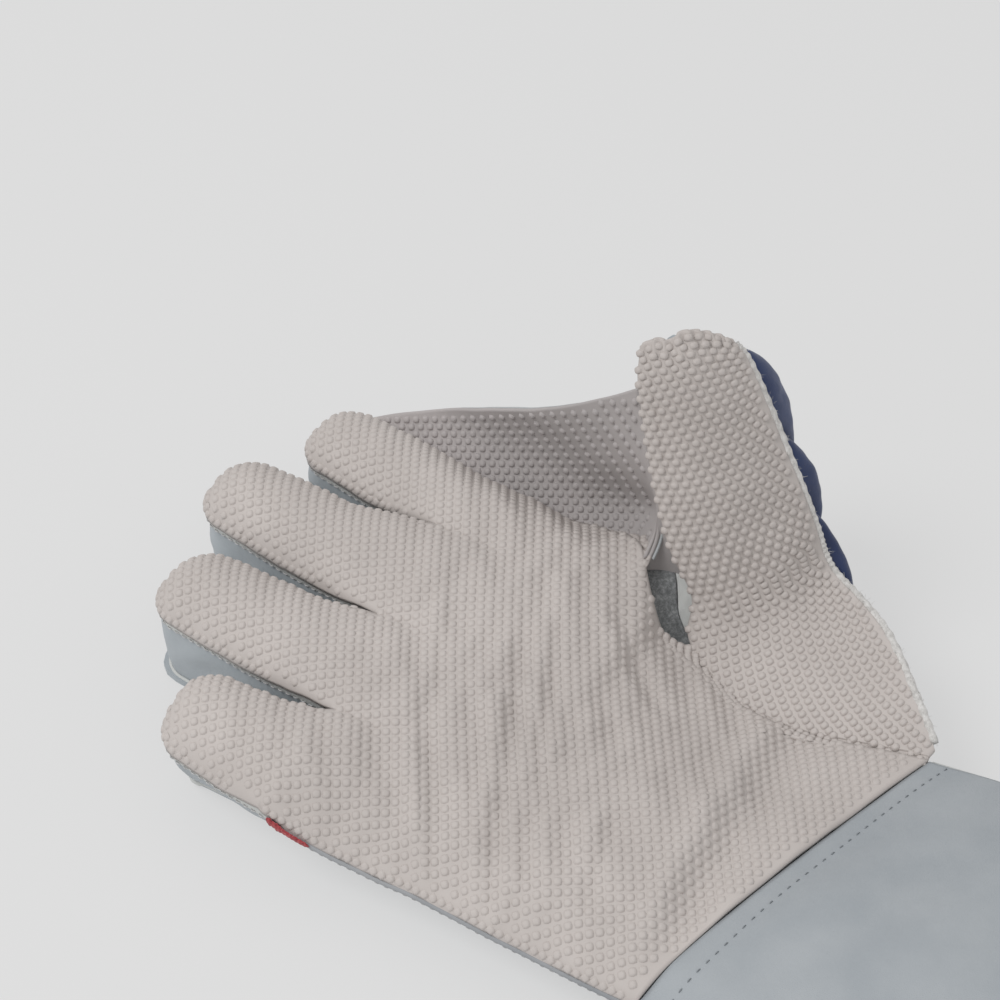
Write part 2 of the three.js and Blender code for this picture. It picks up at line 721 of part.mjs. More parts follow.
// Red bar stitched to the outer edge of the palm
function trimBar() {
  const surface = (u, v) => {
    const top = rubberEdge(trimPlace + (1 - u) * trimLength / palmLength);
    return new THREE.Vector3(top.x - gap, top.y, top.z - trimDrop - (1 - v) * trimHeight);
  };
  return sheet(2, 4, surface, trimThickness);
}

addPiece('palm_rubber', palmRubber(), colours.rubber);
addPiece('back_leather', backSheet(), colours.leather);
fingers.forEach((finger, index) => {
  addPiece(`side_${finger.name}`, fingerWall(finger, index), colours.leather);
});
addPiece('thumb_rubber', sheet(thumbRows * 3, 6, thumbFace, rubberSheet), colours.rubber);
addPiece('thumb_leather', sheet(thumbRows, thumbColumns, thumbBack, thumbLeather), colours.leather);
for (const pad of thumbPads) {
  addPiece(pad.name, thumbPad(pad), colours.navy);
}
addPiece('web_rubber', sheet(8, 8, webPoint, webRubber), colours.web);
addPiece('web_lining', sheet(8, 8, webPoint, webLining, webRubber + gap), colours.leather);

addPiece('crotch_patch', holeSheet(0, suedeShare), colours.suede);
addPiece('crotch_band', holeSheet(bandStart, 1), colours.leather);
addPiece('cuff_palm', sheet(6, cuffColumns, (u, v) => cuffTop(1 - u, v), cuffSheet), colours.leather);
addPiece('cuff_back', sheet(6, cuffColumns, cuffUnder, cuffSheet), colours.leather);
addPiece('cuff_binding', cuffBinding(), colours.leather);
addPiece('trim_bar', trimBar(), colours.trim);

const box = new THREE.Box3().setFromObject(glove);
const centre = box.getCenter(new THREE.Vector3());
glove.children.forEach((mesh) => mesh.geometry.translate(-centre.x, -centre.y, -box.min.z));

export default glove;
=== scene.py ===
import itertools
import math

import bpy
import numpy as np
from mathutils import Matrix, Vector
from mathutils.bvhtree import BVHTree


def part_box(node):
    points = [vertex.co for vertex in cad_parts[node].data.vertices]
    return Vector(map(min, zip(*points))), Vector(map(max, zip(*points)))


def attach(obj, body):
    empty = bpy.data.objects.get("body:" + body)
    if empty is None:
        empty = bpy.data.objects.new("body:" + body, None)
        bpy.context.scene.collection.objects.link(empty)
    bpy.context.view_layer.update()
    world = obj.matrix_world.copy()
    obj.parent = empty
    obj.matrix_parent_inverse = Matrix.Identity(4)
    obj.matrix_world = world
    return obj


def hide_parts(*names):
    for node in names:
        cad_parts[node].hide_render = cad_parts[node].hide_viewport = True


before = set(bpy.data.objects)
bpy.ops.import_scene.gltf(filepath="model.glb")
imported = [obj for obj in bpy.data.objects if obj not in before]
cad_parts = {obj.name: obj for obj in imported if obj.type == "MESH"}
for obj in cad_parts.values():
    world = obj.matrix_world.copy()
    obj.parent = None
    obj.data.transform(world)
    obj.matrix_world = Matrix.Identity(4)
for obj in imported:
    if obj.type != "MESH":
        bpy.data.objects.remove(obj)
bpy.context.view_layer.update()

# Sizes, in millimetres
PALM_WIDTH, PALM_LENGTH, FINGER_REACH, THICKNESS = 131, 128, 75, 32
FINGER_CROWN, CROTCH_CROWN, TIP_RADIUS, TIP_TURN, SLIT_SPREAD = 7.5, 3, 11, 1.36, 7
THUMB_HEIGHT, THUMB_WIDTH, THUMB_DEPTH, THUMB_TIP_RISE = 98, 36, 24, 5.5
CUFF_LENGTH, CUFF_WIDTH, CUFF_HEIGHT, CUFF_CORNER = 92, 124, 44, 14
RUBBER, WALL, BACK, THUMB_SKIN, LINING, SUEDE, CUFF = 2.4, 1.8, 1.8, 1.8, 1.2, 1.4, 3
BINDING, BINDING_DEPTH, PAD, PAD_BORDER = 1.2, 2.6, 6.2, 1.4
GAP, OVERHANG, RIM_CLEARANCE, FOOT, ULNAR_FOOT, LITTLE_FOOT, WALL_CURVE = 0.3, 1.2, 2.2, 1.8, 15, 11, 1.5
HOLE_SHARE, WEB_SIDE, OUTER_SIDE, WEB_SIDE_DEPTH, RIM_U, RIM_V = 0.6, 0.35, 0.45, 0.55, 0.04, 0.98

# little, ring, middle, index: left, right, knuckle, reach, ulnar cut, radial cut, ulnar rim, radial rim
FINGERS = [
    (0.014, 0.256, -0.082, 0.39, 0.3, 0.6, 0.66, 0.8),
    (0.256, 0.504, 0.0, 0.775, 0.3, 0.35, 0.81, 0.8),
    (0.504, 0.764, 0.047, 0.955, 0.75, 0.3, 0.82, 0.82),
    (0.764, 0.996, 0.06, 0.83, 0.7, -0.3, 0.83, 0.78),
]
# palm rows: y left, y right, x left, x right, then heights at edge, shoulder, centre, ridge, rim
PALM = np.array([
    (-0.085, 0.06, 0.014, 0.996, 0.7, 0.87, 0.93, 1.0, 0.76),
    (-0.15, -0.06, 0.016, 1.0, 0.63, 0.87, 0.97, 1.02, 0.74),
    (-0.225, -0.16, 0.024, 0.996, 0.58, 0.85, 0.98, 1.03, 0.77),
    (-0.29, -0.25, 0.033, 0.985, 0.55, 0.83, 0.97, 1.03, 0.88),
    (-0.35, -0.325, 0.04, 0.955, 0.53, 0.82, 0.95, 1.0, 1.05),
    (-0.41, -0.38, 0.047, 0.902, 0.53, 0.81, 0.93, 0.94, 1.07),
    (-0.47, -0.43, 0.05, 0.862, 0.53, 0.8, 0.92, 0.82, 0.84),
    (-0.52, -0.475, 0.052, 0.85, 0.53, 0.8, 0.92, 0.68, 0.58),
    (-0.59, -0.56, 0.054, 0.835, 0.53, 0.8, 0.92, 0.6, 0.5),
    (-0.67, -0.67, 0.057, 0.8, 0.54, 0.8, 0.92, 0.6, 0.48),
    (-0.76, -0.8, 0.06, 0.79, 0.55, 0.79, 0.9, 0.64, 0.52),
    (-0.84, -0.94, 0.062, 0.81, 0.57, 0.78, 0.87, 0.7, 0.62),
    (-0.91, -1.085, 0.064, 0.835, 0.6, 0.78, 0.84, 0.78, 0.74),
])
PROFILE = np.array([0, 0.12, 0.48, 0.87, 1])
# thumb rows: left x, y, z, right x, y, z, bulge
THUMB = np.array([
    (0.845, -1.08, 0.242, 0.862, -1.085, 0.242, 0.0),
    (0.822, -0.94, 0.2, 0.93, -0.995, 0.29, 0.03),
    (0.802, -0.8, 0.165, 1.015, -0.885, 0.33, 0.07),
    (0.812, -0.67, 0.155, 1.06, -0.79, 0.35, 0.1),
    (0.847, -0.56, 0.165, 1.077, -0.725, 0.375, 0.12),
    (0.872, -0.505, 0.205, 1.081, -0.695, 0.42, 0.12),
    (0.903, -0.49, 0.3, 1.084, -0.675, 0.475, 0.12),
    (0.905, -0.432, 0.425, 1.088, -0.635, 0.575, 0.13),
    (0.918, -0.385, 0.57, 1.093, -0.58, 0.7, 0.14),
    (0.935, -0.343, 0.72, 1.095, -0.525, 0.83, 0.13),
    (0.955, -0.305, 0.885, 1.095, -0.472, 0.95, 0.1),
    (0.975, -0.29, 0.985, 1.09, -0.44, 1.0, 0.05),
])
THUMB_FOOT = np.array([
    (1.02, -0.25), (1.06, -0.29), (1.095, -0.38), (1.11, -0.5), (1.105, -0.64),
    (1.08, -0.78), (1.01, -0.91), (0.92, -1.02), (0.855, -1.08),
])
WEB_FOOT = np.array([
    (1.016, 0.43, 0.72), (1.014, 0.24, 0.68), (1.006, 0.0, 0.58), (1.012, -0.16, 0.62),
    (1.008, -0.27, 0.78), (0.966, -0.34, 1.03), (0.915, -0.376, 1.1),
])
WEB_SCOOP, WEB_SAG, WEB_STAND_OFF, WEB_FROM, WEB_TO, WEB_SCOOP_FOOT = 12, 7, 4, 0.09, 0.258, 0.15
HOLE_TOP, HOLE_BOTTOM, HOLE_PALM, HOLE_THUMB = 0.37, 0.62, 0.97, 0.1
HOLE_THUMB_TOP, HOLE_THUMB_BOTTOM, PATCH_DROP, PATCH_DISH = 0.56, 0.34, 1.4, 5
CUFF_STEP, CUFF_SHIFT, CUFF_CROWN, CUFF_SEAM, CUFF_SIDE, CUFF_TURN = 1, -4, 5, 0.5, 0.2, 0.97
TRIM_LENGTH, TRIM_HEIGHT, TRIM_THICK, TRIM_PLACE, TRIM_DROP = 15, 3, 1.2, 0.02, 0.3
# pads up the thumb's back: from, to, low, high
PADS = {
    "thumb_pad_tip": (0.46, 0.553, 0.07, 0.36),
    "thumb_pad_middle": (0.563, 0.622, 0.07, 0.4),
    "thumb_pad_base": (0.632, 0.755, 0.11, 0.46),
}

# stud rows: the palm's run along ACROSS and AWAY, the camera's two level directions
AZIMUTH, ELEVATION = math.radians(-55), math.radians(43)
ACROSS = np.array([math.cos(AZIMUTH), math.sin(AZIMUTH)])
AWAY = np.array([-math.sin(AZIMUTH), math.cos(AZIMUTH)])
STUD_ACROSS, STUD_AWAY, STUD_RADIUS, STUD_HEIGHT, RIM_STUD = 2.45, 2.5, 1.0, 0.52, 2.3
SHEET_EDGE, WEB_EDGE, CUFF_MARGIN = 1.3, 1.1, 2.0
UP = np.array([0, 0, 1.0])
# right, toward the camera, and up in its picture
VIEW_RIGHT = np.array([*ACROSS, 0])
VIEW_BACK = np.array([*(-AWAY * math.cos(ELEVATION)), math.sin(ELEVATION)])
VIEW_UP = np.cross(VIEW_BACK, VIEW_RIGHT)
WEB_ACROSS, WEB_UP = 2.75, 2.15
# creases in the palm: from and to, each across and away from the camera, then depth and width
CREASES = [
    (37, 6, 30, -80, 0.75, 2.8), (46, 0, 40, -60, 0.55, 2.4), (10, -20, 16, -85, 0.5, 2.6),
    (66, -30, 34, -62, 0.6, 3.0), (60, 4, 74, -32, 0.7, 3.0), (20, 12, 13, -34, 0.45, 2.4),
    (58, -60, 50, -92, 0.5, 2.8), (24, -30, 46, -18, 0.5, 2.4),
]


def detail(quick, full):
    return full


# Curves and surfaces
def mix(a, b, t):
    return a + (b - a) * t


def ease(t):
    t = np.clip(t, 0, 1)
    return t * t * (3 - 2 * t)


def spline(places, values, t):
    """Smooth curve through values (one per place, each a number or an array like t)."""
    t = np.asarray(t, float)
    last = len(places) - 1
    k = np.clip(np.searchsorted(places, t, side="left") - 1, 0, last - 1)
    values = np.asarray(values, float)
    if values.ndim == 1:
        at = lambda i: values[i]
    else:
        column = np.arange(t.size).reshape(t.shape)
        flat = values.reshape(len(places), -1)
        at = lambda i: flat[i, column]
    low, high = np.maximum(k - 1, 0), np.minimum(k + 2, last)
    slope_a = (at(k + 1) - at(low)) / (places[k + 1] - places[low])
    slope_b = (at(high) - at(k)) / (places[high] - places[k])
    span = places[k + 1] - places[k]
    s = np.clip((t - places[k]) / span, 0, 1)
    h = s * s * (3 - 2 * s)
    return (at(k) * (1 - h) + at(k + 1) * h
            + span * (s * (1 - s) ** 2 * slope_a - s * s * (1 - s) * slope_b))


def column(table, index, t):
    return spline(np.linspace(0, 1, len(table)), table[:, index], np.clip(t, 0, 1))


def across_x(share):
    return (share - FINGERS[2][0]) * PALM_WIDTH


def stack(x, y, z):
    return np.stack(np.broadcast_arrays(x, y, z), -1).astype(float)


def unit(a):
    return a / np.maximum(np.linalg.norm(a, axis=-1, keepdims=True), 1e-9)


def matched(u, v):
    """Two parameters as arrays of one shape."""
    return np.broadcast_arrays(np.asarray(u, float), np.asarray(v, float))


def unit_grid(columns, rows):
    return np.meshgrid(np.linspace(0, 1, columns), np.linspace(0, 1, rows))


def bell(x, middle, width):
    return np.exp(-((x - middle) / width) ** 2)


def upward(normals):
    return np.where(normals[:, 2:] < 0, -normals, normals)


def lengths_along(path):
    """Distance from the start of a path to each of its points."""
    return np.concatenate([[0], np.cumsum(np.linalg.norm(np.diff(path, axis=0), axis=1))])


KNUCKLE_END = FINGERS[3][1]


def knuckle_place(across):
    return (across - FINGERS[0][0]) / (KNUCKLE_END - FINGERS[0][0])


SLIT_PLACES = np.array([knuckle_place(a) for a in [FINGERS[0][0]] + [f[1] for f in FINGERS]])
SLIT_FORWARD = np.array([PALM[0, 0]] + [f[2] for f in FINGERS])


def crown_share(across):
    share = np.zeros_like(across)
    for n, f in enumerate(FINGERS):
        inside = (across <= f[1] + 1e-9) if n == 0 else (across > FINGERS[n - 1][1] + 1e-9)
        if 0 < n < 3:
            inside &= across <= f[1] + 1e-9
        s = (across - f[0]) / (f[1] - f[0]) * 2 - 1
        share = np.where(inside, 1 - s * s, share)
    return share


def palm(u, v):
    u, v = matched(u, v)
    x = mix(column(PALM, 2, v), column(PALM, 3, v), u)
    forward = spline(SLIT_PLACES, SLIT_FORWARD, u)
    straight = mix(column(PALM, 0, v), column(PALM, 1, v), u)
    bend = forward - mix(SLIT_FORWARD[0], SLIT_FORWARD[4], u)
    y = straight + bend * (1 - ease(v * 2.5))
    heights = np.stack([column(PALM, 4 + k, v) for k in range(5)])
    z = spline(PROFILE, heights, u) * THICKNESS
    crowned = CROTCH_CROWN * crown_share(x) * (1 - ease(v * 5))
    return stack(across_x(x), y * PALM_LENGTH, z + crowned)


def finger(f, s, t):
    left, right, _, reach, cut_u, cut_r, rim_u, rim_r = f
    s, t = matched(s, t)
    turn = np.maximum(0, t * 2 - 1)
    angle = turn * TIP_TURN
    along = np.minimum(1, t * 2)
    half = (s + 1) / 2
    base = palm(knuckle_place(mix(left, right, half)), np.zeros_like(s))
    left_x = across_x(left) + cut_u * SLIT_SPREAD * along
    right_x = across_x(right) - cut_r * SLIT_SPREAD * along
    inset = TIP_RADIUS * (1 - np.cos(angle))
    x = mix(left_x + inset, right_x - inset, half)
    y = mix(base[..., 1], reach * FINGER_REACH - TIP_RADIUS, along) + TIP_RADIUS * np.sin(angle)
    rim = mix(rim_u, rim_r, half) * THICKNESS
    edge = mix(base[..., 2] - CROTCH_CROWN * (1 - s * s), rim, ease(along * 1.6))
    crown = mix(CROTCH_CROWN, FINGER_CROWN, ease(along * 1.5)) * np.cos(turn * math.pi / 2)
    return stack(x, y, edge + crown * (1 - s * s))


def thumb(u, v):
    u, v = matched(u, v)
    c = [column(THUMB, k, v) for k in range(7)]
    left = stack(across_x(c[0]), c[1] * PALM_LENGTH, c[2] * THUMB_HEIGHT)
    right = stack(across_x(c[3]), c[4] * PALM_LENGTH, c[5] * THUMB_HEIGHT)
    facing = unit(stack(right[..., 1] - left[..., 1], left[..., 0] - right[..., 0], 0 * u))
    hump = 1 - (2 * u - 1) ** 2
    point = mix(left, right, u[..., None]) + facing * (c[6] * THUMB_WIDTH * hump)[..., None]
    point[..., 2] += THUMB_TIP_RISE * hump * ease((v - 0.75) * 4)
    return point


def surface_normal(surface, u, v, step=0.02):
    across = surface(u + step, v) - surface(u - step, v)
    along = surface(u, v + step) - surface(u, v - step)
    return unit(np.cross(across, along))


def rim_place(c):
    """Where the leather's rim runs under the thumb's rubber: up the web side, over the tip, down outside."""
    c = np.asarray(c, float)
    over_tip = mix(RIM_U, 1 - RIM_U, (c - WEB_SIDE) / (OUTER_SIDE - WEB_SIDE))
    down = mix(RIM_V, 0, (c - OUTER_SIDE) / (1 - OUTER_SIDE))
    u = np.where(c < WEB_SIDE, RIM_U, np.where(c < OUTER_SIDE, over_tip, 1 - RIM_U))
    v = np.where(c < WEB_SIDE, mix(HOLE_SHARE, RIM_V, c / WEB_SIDE), np.where(c < OUTER_SIDE, RIM_V, down))
    return u, v


def thumb_rim(c):
    u, v = rim_place(c)
    return thumb(u, v) - surface_normal(thumb, u, np.minimum(v, 0.96)) * (RUBBER + RIM_CLEARANCE)


def thumb_back(c, r):
    c, r = matched(c, r)
    rim = thumb_rim(c)
    foot = stack(across_x(column(THUMB_FOOT, 0, c)), column(THUMB_FOOT, 1, c) * PALM_LENGTH,
                 BACK + THUMB_SKIN / 2)
    away = unit(np.array([1, 0.4, 0.0]))
    side = np.where(c < WEB_SIDE, WEB_SIDE_DEPTH * ease((WEB_SIDE - c) * 12 + 0.3), 0)
    lifted = np.maximum(side, np.maximum((rim[..., 2] - THICKNESS) / (THUMB_HEIGHT - THICKNESS), 0))
    belly = np.sin(math.pi * np.minimum(1, np.maximum(r, 0) * 1.02)) ** 0.7
    return mix(rim, foot, r[..., None]) + away * (THUMB_DEPTH * lifted * belly)[..., None]


def web(u, v):
    u, v = matched(u, v)
    foot = stack(across_x(column(WEB_FOOT, 0, 1 - v)), column(WEB_FOOT, 1, 1 - v) * PALM_LENGTH,
                 column(WEB_FOOT, 2, 1 - v) * THICKNESS)
    side = thumb_rim(mix(WEB_FROM, WEB_TO, v))
    side[..., 1] += WEB_STAND_OFF
    hollow = WEB_SCOOP_FOOT + 1.7 * v - 1.2 * v * v
    scoop = WEB_SCOOP * hollow * u * (1 - u) ** 2 * 27 / 4
    sag = WEB_SAG * np.sin(math.pi * u) * v
    return mix(foot, side, u[..., None]) + stack(scoop, 0 * u, -sag)


def hole(u, v):
    u, v = matched(u, v)
    left = palm(HOLE_PALM, mix(HOLE_TOP, HOLE_BOTTOM, v))
    left[..., 2] -= RUBBER + PATCH_DROP
    right = thumb(HOLE_THUMB, mix(HOLE_THUMB_TOP, HOLE_THUMB_BOTTOM, v))
    normal = surface_normal(thumb, HOLE_THUMB, 0.5)
    right = right - normal * (RUBBER + PATCH_DROP)
    dish = PATCH_DISH * np.sin(math.pi * u)
    return mix(left, right, u[..., None]) + dish[..., None] * np.array([0.8, 0.5, -0.3])


def outer_foot(v):
    return mix(LITTLE_FOOT, ULNAR_FOOT, ease(v * 5))


def wall_inset(foot, share):
    return mix(OVERHANG, foot, share ** WALL_CURVE)


def foot_right(y):
    along = y / PALM_LENGTH
    x = np.interp(-along, -THUMB_FOOT[:, 1], THUMB_FOOT[:, 0])
    return np.where(along > THUMB_FOOT[0, 1], -1e9, across_x(x))


def foot_palm(u, v):
    top, right = palm(u, v), palm(np.ones_like(u), v)
    reach = np.maximum(-FOOT, foot_right(right[..., 1]) - right[..., 0])
    x = top[..., 0] + outer_foot(v) * (1 - u) ** 3 + reach * u ** 3
    return stack(x, top[..., 1], BACK)


def cuff_top(u, w):
    u, w = matched(u, w)
    seam = palm(u, 1)
    seam[..., 1] -= GAP
    seam[..., 2] -= CUFF_STEP
    turn = (2 * u - 1) * CUFF_TURN
    arch = CUFF_SEAM + (1 - CUFF_SEAM) * np.sqrt(np.maximum(0, 1 - turn * turn))
    mouth = stack(turn * CUFF_WIDTH / 2 + CUFF_SHIFT, -PALM_LENGTH - CUFF_LENGTH, CUFF_HEIGHT * arch)
    point = mix(seam, mouth, w[..., None])
    point[..., 2] += CUFF_CROWN * np.sin(math.pi * w) * (1 - turn * turn)
    return point


def cuff_under(u, w):
    u, w = matched(u, w)
    left, right = cuff_top(0, w), cuff_top(1, w)
    one = np.ones(1)
    seam_right = (palm(one, one) - foot_palm(one, one))[0, 0]
    is_left = u < 0.5
    side = np.where(is_left[..., None], left, right)
    sign = np.where(is_left, 1, -1)
    inset = mix(np.where(is_left, ULNAR_FOOT, seam_right), CUFF_CORNER, w)
    share = np.minimum(u, 1 - u)
    top = side[..., 2] - CUFF - GAP
    angle = (1 - np.minimum(1, share / CUFF_SIDE)) * math.pi / 2
    edge = stack(side[..., 0] + sign * inset * (1 - np.sin(angle)), side[..., 1], top * (1 - np.cos(angle)))
    floor_u = np.clip((u - CUFF_SIDE) / (1 - 2 * CUFF_SIDE), 0, 1)
    seam = foot_palm(floor_u, np.ones_like(u))
    seam[..., 1] -= GAP
    seam[..., 2] = 0
    mouth = stack(mix(left[..., 0] + CUFF_CORNER, right[..., 0] - CUFF_CORNER, floor_u),
                  -PALM_LENGTH - CUFF_LENGTH, 0)
    return np.where((share < CUFF_SIDE)[..., None], edge, mix(seam, mouth, w[..., None]))


LUMP_WAVES = 9


def lumps(points, size, seed):
    """Soft unevenness between -1 and 1, from a few waves of random direction."""
    waves = np.random.default_rng(seed)
    total = np.zeros(points.shape[:-1])
    for k in range(LUMP_WAVES):
        way = waves.normal(size=3)
        way *= (1.6 ** (k // 3)) / (size * np.linalg.norm(way))
        total += np.sin(points @ way * 2 * math.pi + waves.uniform(0, 6.28)) / 1.5 ** (k // 3)
    return total / 4


# The shift to the frame's origin
def place_frame():
    shares = [[f[0] + (f[1] - f[0]) * k / 4 for k in range(4)] for f in FINGERS]
    shares = np.concatenate(shares + [[KNUCKLE_END]])
    grid = palm(knuckle_place(shares)[None, :], np.linspace(0, 1, 17)[:, None])
    s = np.linspace(-1, 1, 5)[None, :]
    t = np.linspace(0, 1, 9)[:, None]
    nets = [grid.reshape(-1, 3)] + [finger(f, s, t).reshape(-1, 3) for f in FINGERS]
    points = np.concatenate(nets)
    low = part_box("palm_rubber")[0]
    return np.array([points[:, 0].min() - low[0] * 1000, points[:, 1].min() - low[1] * 1000, 0])


SHIFT = place_frame()


def metres(points):
    return (np.asarray(points, float) - SHIFT) / 1000


# Mesh makers
def add(name, data):
    """An object made from its data and put in the scene."""
    obj = bpy.data.objects.new(name, data)
    bpy.context.scene.collection.objects.link(obj)
    return obj


def make(name, points, faces, material):
    mesh = bpy.data.meshes.new(name)
    mesh.from_pydata(metres(points).reshape(-1, 3).tolist(), [], [list(map(int, f)) for f in faces])
    mesh.validate()
    mesh.update()
    mesh.polygons.foreach_set("use_smooth", [True] * len(mesh.polygons))
    mesh.materials.append(material)
    obj = add(name, mesh)
    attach(obj, "root")
    return obj


RIM_BULGE = 0.22


def grid_faces(rows, columns):
    r, c = np.meshgrid(np.arange(rows - 1), np.arange(columns - 1), indexing="ij")
    a = (r * columns + c).ravel()
    return np.stack([a, a + 1, a + columns + 1, a + columns], -1)


def rim_loop(rows, columns):
    """The border of a grid as a ring of point numbers."""
    loop = ([(0, c) for c in range(columns - 1)] + [(r, columns - 1) for r in range(rows - 1)]
            + [(rows - 1, c) for c in range(columns - 1, 0, -1)] + [(r, 0) for r in range(rows - 1, 0, -1)])
    return np.array([r * columns + c for r, c in loop])


def around(sides):
    """Cosine and sine of evenly spaced angles."""
    return [(math.cos(i / sides * 2 * math.pi), math.sin(i / sides * 2 * math.pi)) for i in range(sides)]


def ring_faces(rings, sides, closed=False, capped=False, flipped=False):
    """Faces round a row of rings with the same number of points each."""
    faces = []
    for r in range(rings if closed else rings - 1):
        here, after = r * sides, (r + 1) % rings * sides
        for i in range(sides):
            j = (i + 1) % sides
            a, b, c, d = here + i, here + j, after + j, after + i
            faces.append([a, d, c, b] if flipped else [a, b, c, d])
    if capped:
        first = list(range(sides))
        last = [(rings - 1) * sides + i for i in first]
        faces += [first, last[::-1]] if flipped else [first[::-1], last]
    return faces


def grid_normals(points):
    along = np.gradient(points, axis=0)
    across = np.gradient(points, axis=1)
    return unit(np.cross(across, along))


def closed_sheet(points, thickness):
    """Closed skin of even thickness behind a grid of points, with a softened rim."""
    rows, columns = points.shape[:2]
    normals = grid_normals(points)
    inner = points - normals * thickness
    count = rows * columns
    faces = grid_faces(rows, columns)
    ring = rim_loop(rows, columns)
    middle = (points - normals * thickness / 2).reshape(-1, 3)[ring]
    along = np.roll(middle, 1, 0) - np.roll(middle, -1, 0)
    out = unit(np.cross(unit(along), normals.reshape(-1, 3)[ring]))
    bulge = middle - out * thickness * RIM_BULGE
    verts = np.concatenate([points.reshape(-1, 3), inner.reshape(-1, 3), bulge])
    following = np.roll(ring, -1)
    order = np.arange(len(ring))
    next_order = np.roll(order, -1)
    rim_out = np.stack([ring, 2 * count + order, 2 * count + next_order, following], -1)
    rim_in = np.stack([2 * count + order, ring + count, following + count, 2 * count + next_order], -1)
    return verts, np.concatenate([faces, faces[:, ::-1] + count, rim_out, rim_in])


def sheet_piece(name, points, thickness, material):
    verts, faces = closed_sheet(points, thickness)
    return make(name, verts, faces, material)


def joined(name, template, faces, centres, frames, material):
    """Many copies of a small shape in one mesh: frames hold the three axes of each."""
    points = np.einsum("nij,kj->nki", frames, template) + centres[:, None, :]
    base = np.arange(len(centres))[:, None, None] * len(template)
    out = []
    for polygon_size in sorted({len(f) for f in faces}):
        part = np.array([f for f in faces if len(f) == polygon_size])
        out.extend((part[None] + base).reshape(-1, polygon_size).tolist())
    return make(name, points.reshape(-1, 3), out, material)


def frames_from(normals, along):
    side = unit(np.cross(along, normals))
    forward = unit(np.cross(normals, side))
    return np.stack([side, forward, normals], -1)


def stud_shape(radius, height, sides=8, power=0.62):
    """Low rounded-square stud."""
    angle = np.arange(sides) / sides * 2 * math.pi
    ring = np.stack([np.sign(np.cos(angle)) * np.abs(np.cos(angle)) ** power,
                     np.sign(np.sin(angle)) * np.abs(np.sin(angle)) ** power], -1)
    levels = [(1.2, -0.25), (1.02, 0.3), (0.82, 0.82), (0.42, 1.0)]
    points = [np.column_stack([ring * radius * w, np.full(sides, h * height)]) for w, h in levels]
    points.append(np.array([[0, 0, height * 1.01]]))
    faces = ring_faces(len(levels), sides)
    top = len(levels) * sides
    faces += [[top - sides + i, top - sides + (i + 1) % sides, top] for i in range(sides)]
    return np.concatenate(points), faces


def stitch_shape(length, radius, sides=6):
    """One stitch: a thread that dives at both ends."""
    places = np.linspace(-1, 1, 7)
    points = []
    for p in places:
        lift = radius * (1.1 - 1.9 * abs(p) ** 3)
        width = radius * (1 - 0.35 * abs(p) ** 4)
        points += [(x * width, p * length / 2, lift + z * width * 0.8) for x, z in around(sides)]
    return np.array(points), ring_faces(len(places), sides, capped=True, flipped=True)


def points_at(places, length, path):
    return np.stack([np.interp(places, length, path[:, k]) for k in range(path.shape[1])], -1)


def even_places(path, pitch):
    """Points spaced evenly along a path, half a pitch clear of both ends."""
    length = lengths_along(path)
    count = max(1, int((length[-1] - pitch) / pitch))
    return points_at(np.linspace(0.5 * pitch, length[-1] - 0.5 * pitch, count), length, path)


def stitches(name, path, normals, pitch, material, radius=0.3, share=0.68):
    """A row of stitches along a path, lying on the surface that the normals stand on."""
    both = np.concatenate([path, normals], 1)
    length = lengths_along(path)
    count = max(2, int(length[-1] / pitch))
    places = (np.arange(count) + 0.5) / count * length[-1]
    here = points_at(places, length, both)
    along = unit(points_at(places + 0.3, length, path) - points_at(places - 0.3, length, path))
    template, faces = stitch_shape(pitch * share, radius)
    return joined(name, template, faces, here[:, :3], frames_from(unit(here[:, 3:]), along), material)


def tube(name, path, radius, material, sides, wobble=0.0):
    """Round cord or rolled edge along a path."""
    count = len(path)
    tangent = unit(np.gradient(path, axis=0))
    side = unit(np.cross(tangent, UP))
    top = unit(np.cross(side, tangent))
    radii = radius * (1 + wobble * np.sin(np.arange(count) * 1.3))
    points = [path + (side * x + top * z) * radii[:, None] for x, z in around(sides)]
    faces = ring_faces(count, sides, capped=True)
    return make(name, np.stack(points, 1).reshape(-1, 3), faces, material)


# Materials
def new_material(name, base, roughness):
    material = bpy.data.materials.new(name)
    material.use_nodes = True
    tree = material.node_tree
    shader = tree.nodes["Principled BSDF"]
    shader.inputs["Base Color"].default_value = (*base, 1)
    shader.inputs["Roughness"].default_value = roughness
    coords = tree.nodes.new("ShaderNodeTexCoord")
    return material, tree, shader, coords


def noise_node(tree, coords, scale, detail=4, rough=0.55):
    node = tree.nodes.new("ShaderNodeTexNoise")
    node.inputs["Scale"].default_value = scale
    node.inputs["Detail"].default_value = detail
    node.inputs["Roughness"].default_value = rough
    tree.links.new(coords.outputs["Object"], node.inputs["Vector"])
    return node


def colour_ramp(tree, shader, source, stops):
    """Base colour from a ramp over a texture's output."""
    ramp = tree.nodes.new("ShaderNodeValToRGB")
    while len(ramp.color_ramp.elements) < len(stops):
        ramp.color_ramp.elements.new(0.5)
    for element, (place, colour) in zip(ramp.color_ramp.elements, stops):
        element.position = place
        element.color = (*colour, 1)
    tree.links.new(source, ramp.inputs["Fac"])
    tree.links.new(ramp.outputs["Color"], shader.inputs["Base Color"])


def bump(tree, shader, height, strength, distance, chain=None):
    node = tree.nodes.new("ShaderNodeBump")
    node.inputs["Strength"].default_value = strength
    node.inputs["Distance"].default_value = distance
    tree.links.new(height, node.inputs["Height"])
    if chain is not None:
        tree.links.new(chain.outputs["Normal"], node.inputs["Normal"])
    tree.links.new(node.outputs["Normal"], shader.inputs["Normal"])
    return node


def rgb(r, g, b):
    """Linear colour of an 8-bit display colour, each part above 10."""
    return tuple(((v / 255 + 0.055) / 1.055) ** 2.4 for v in (r, g, b))


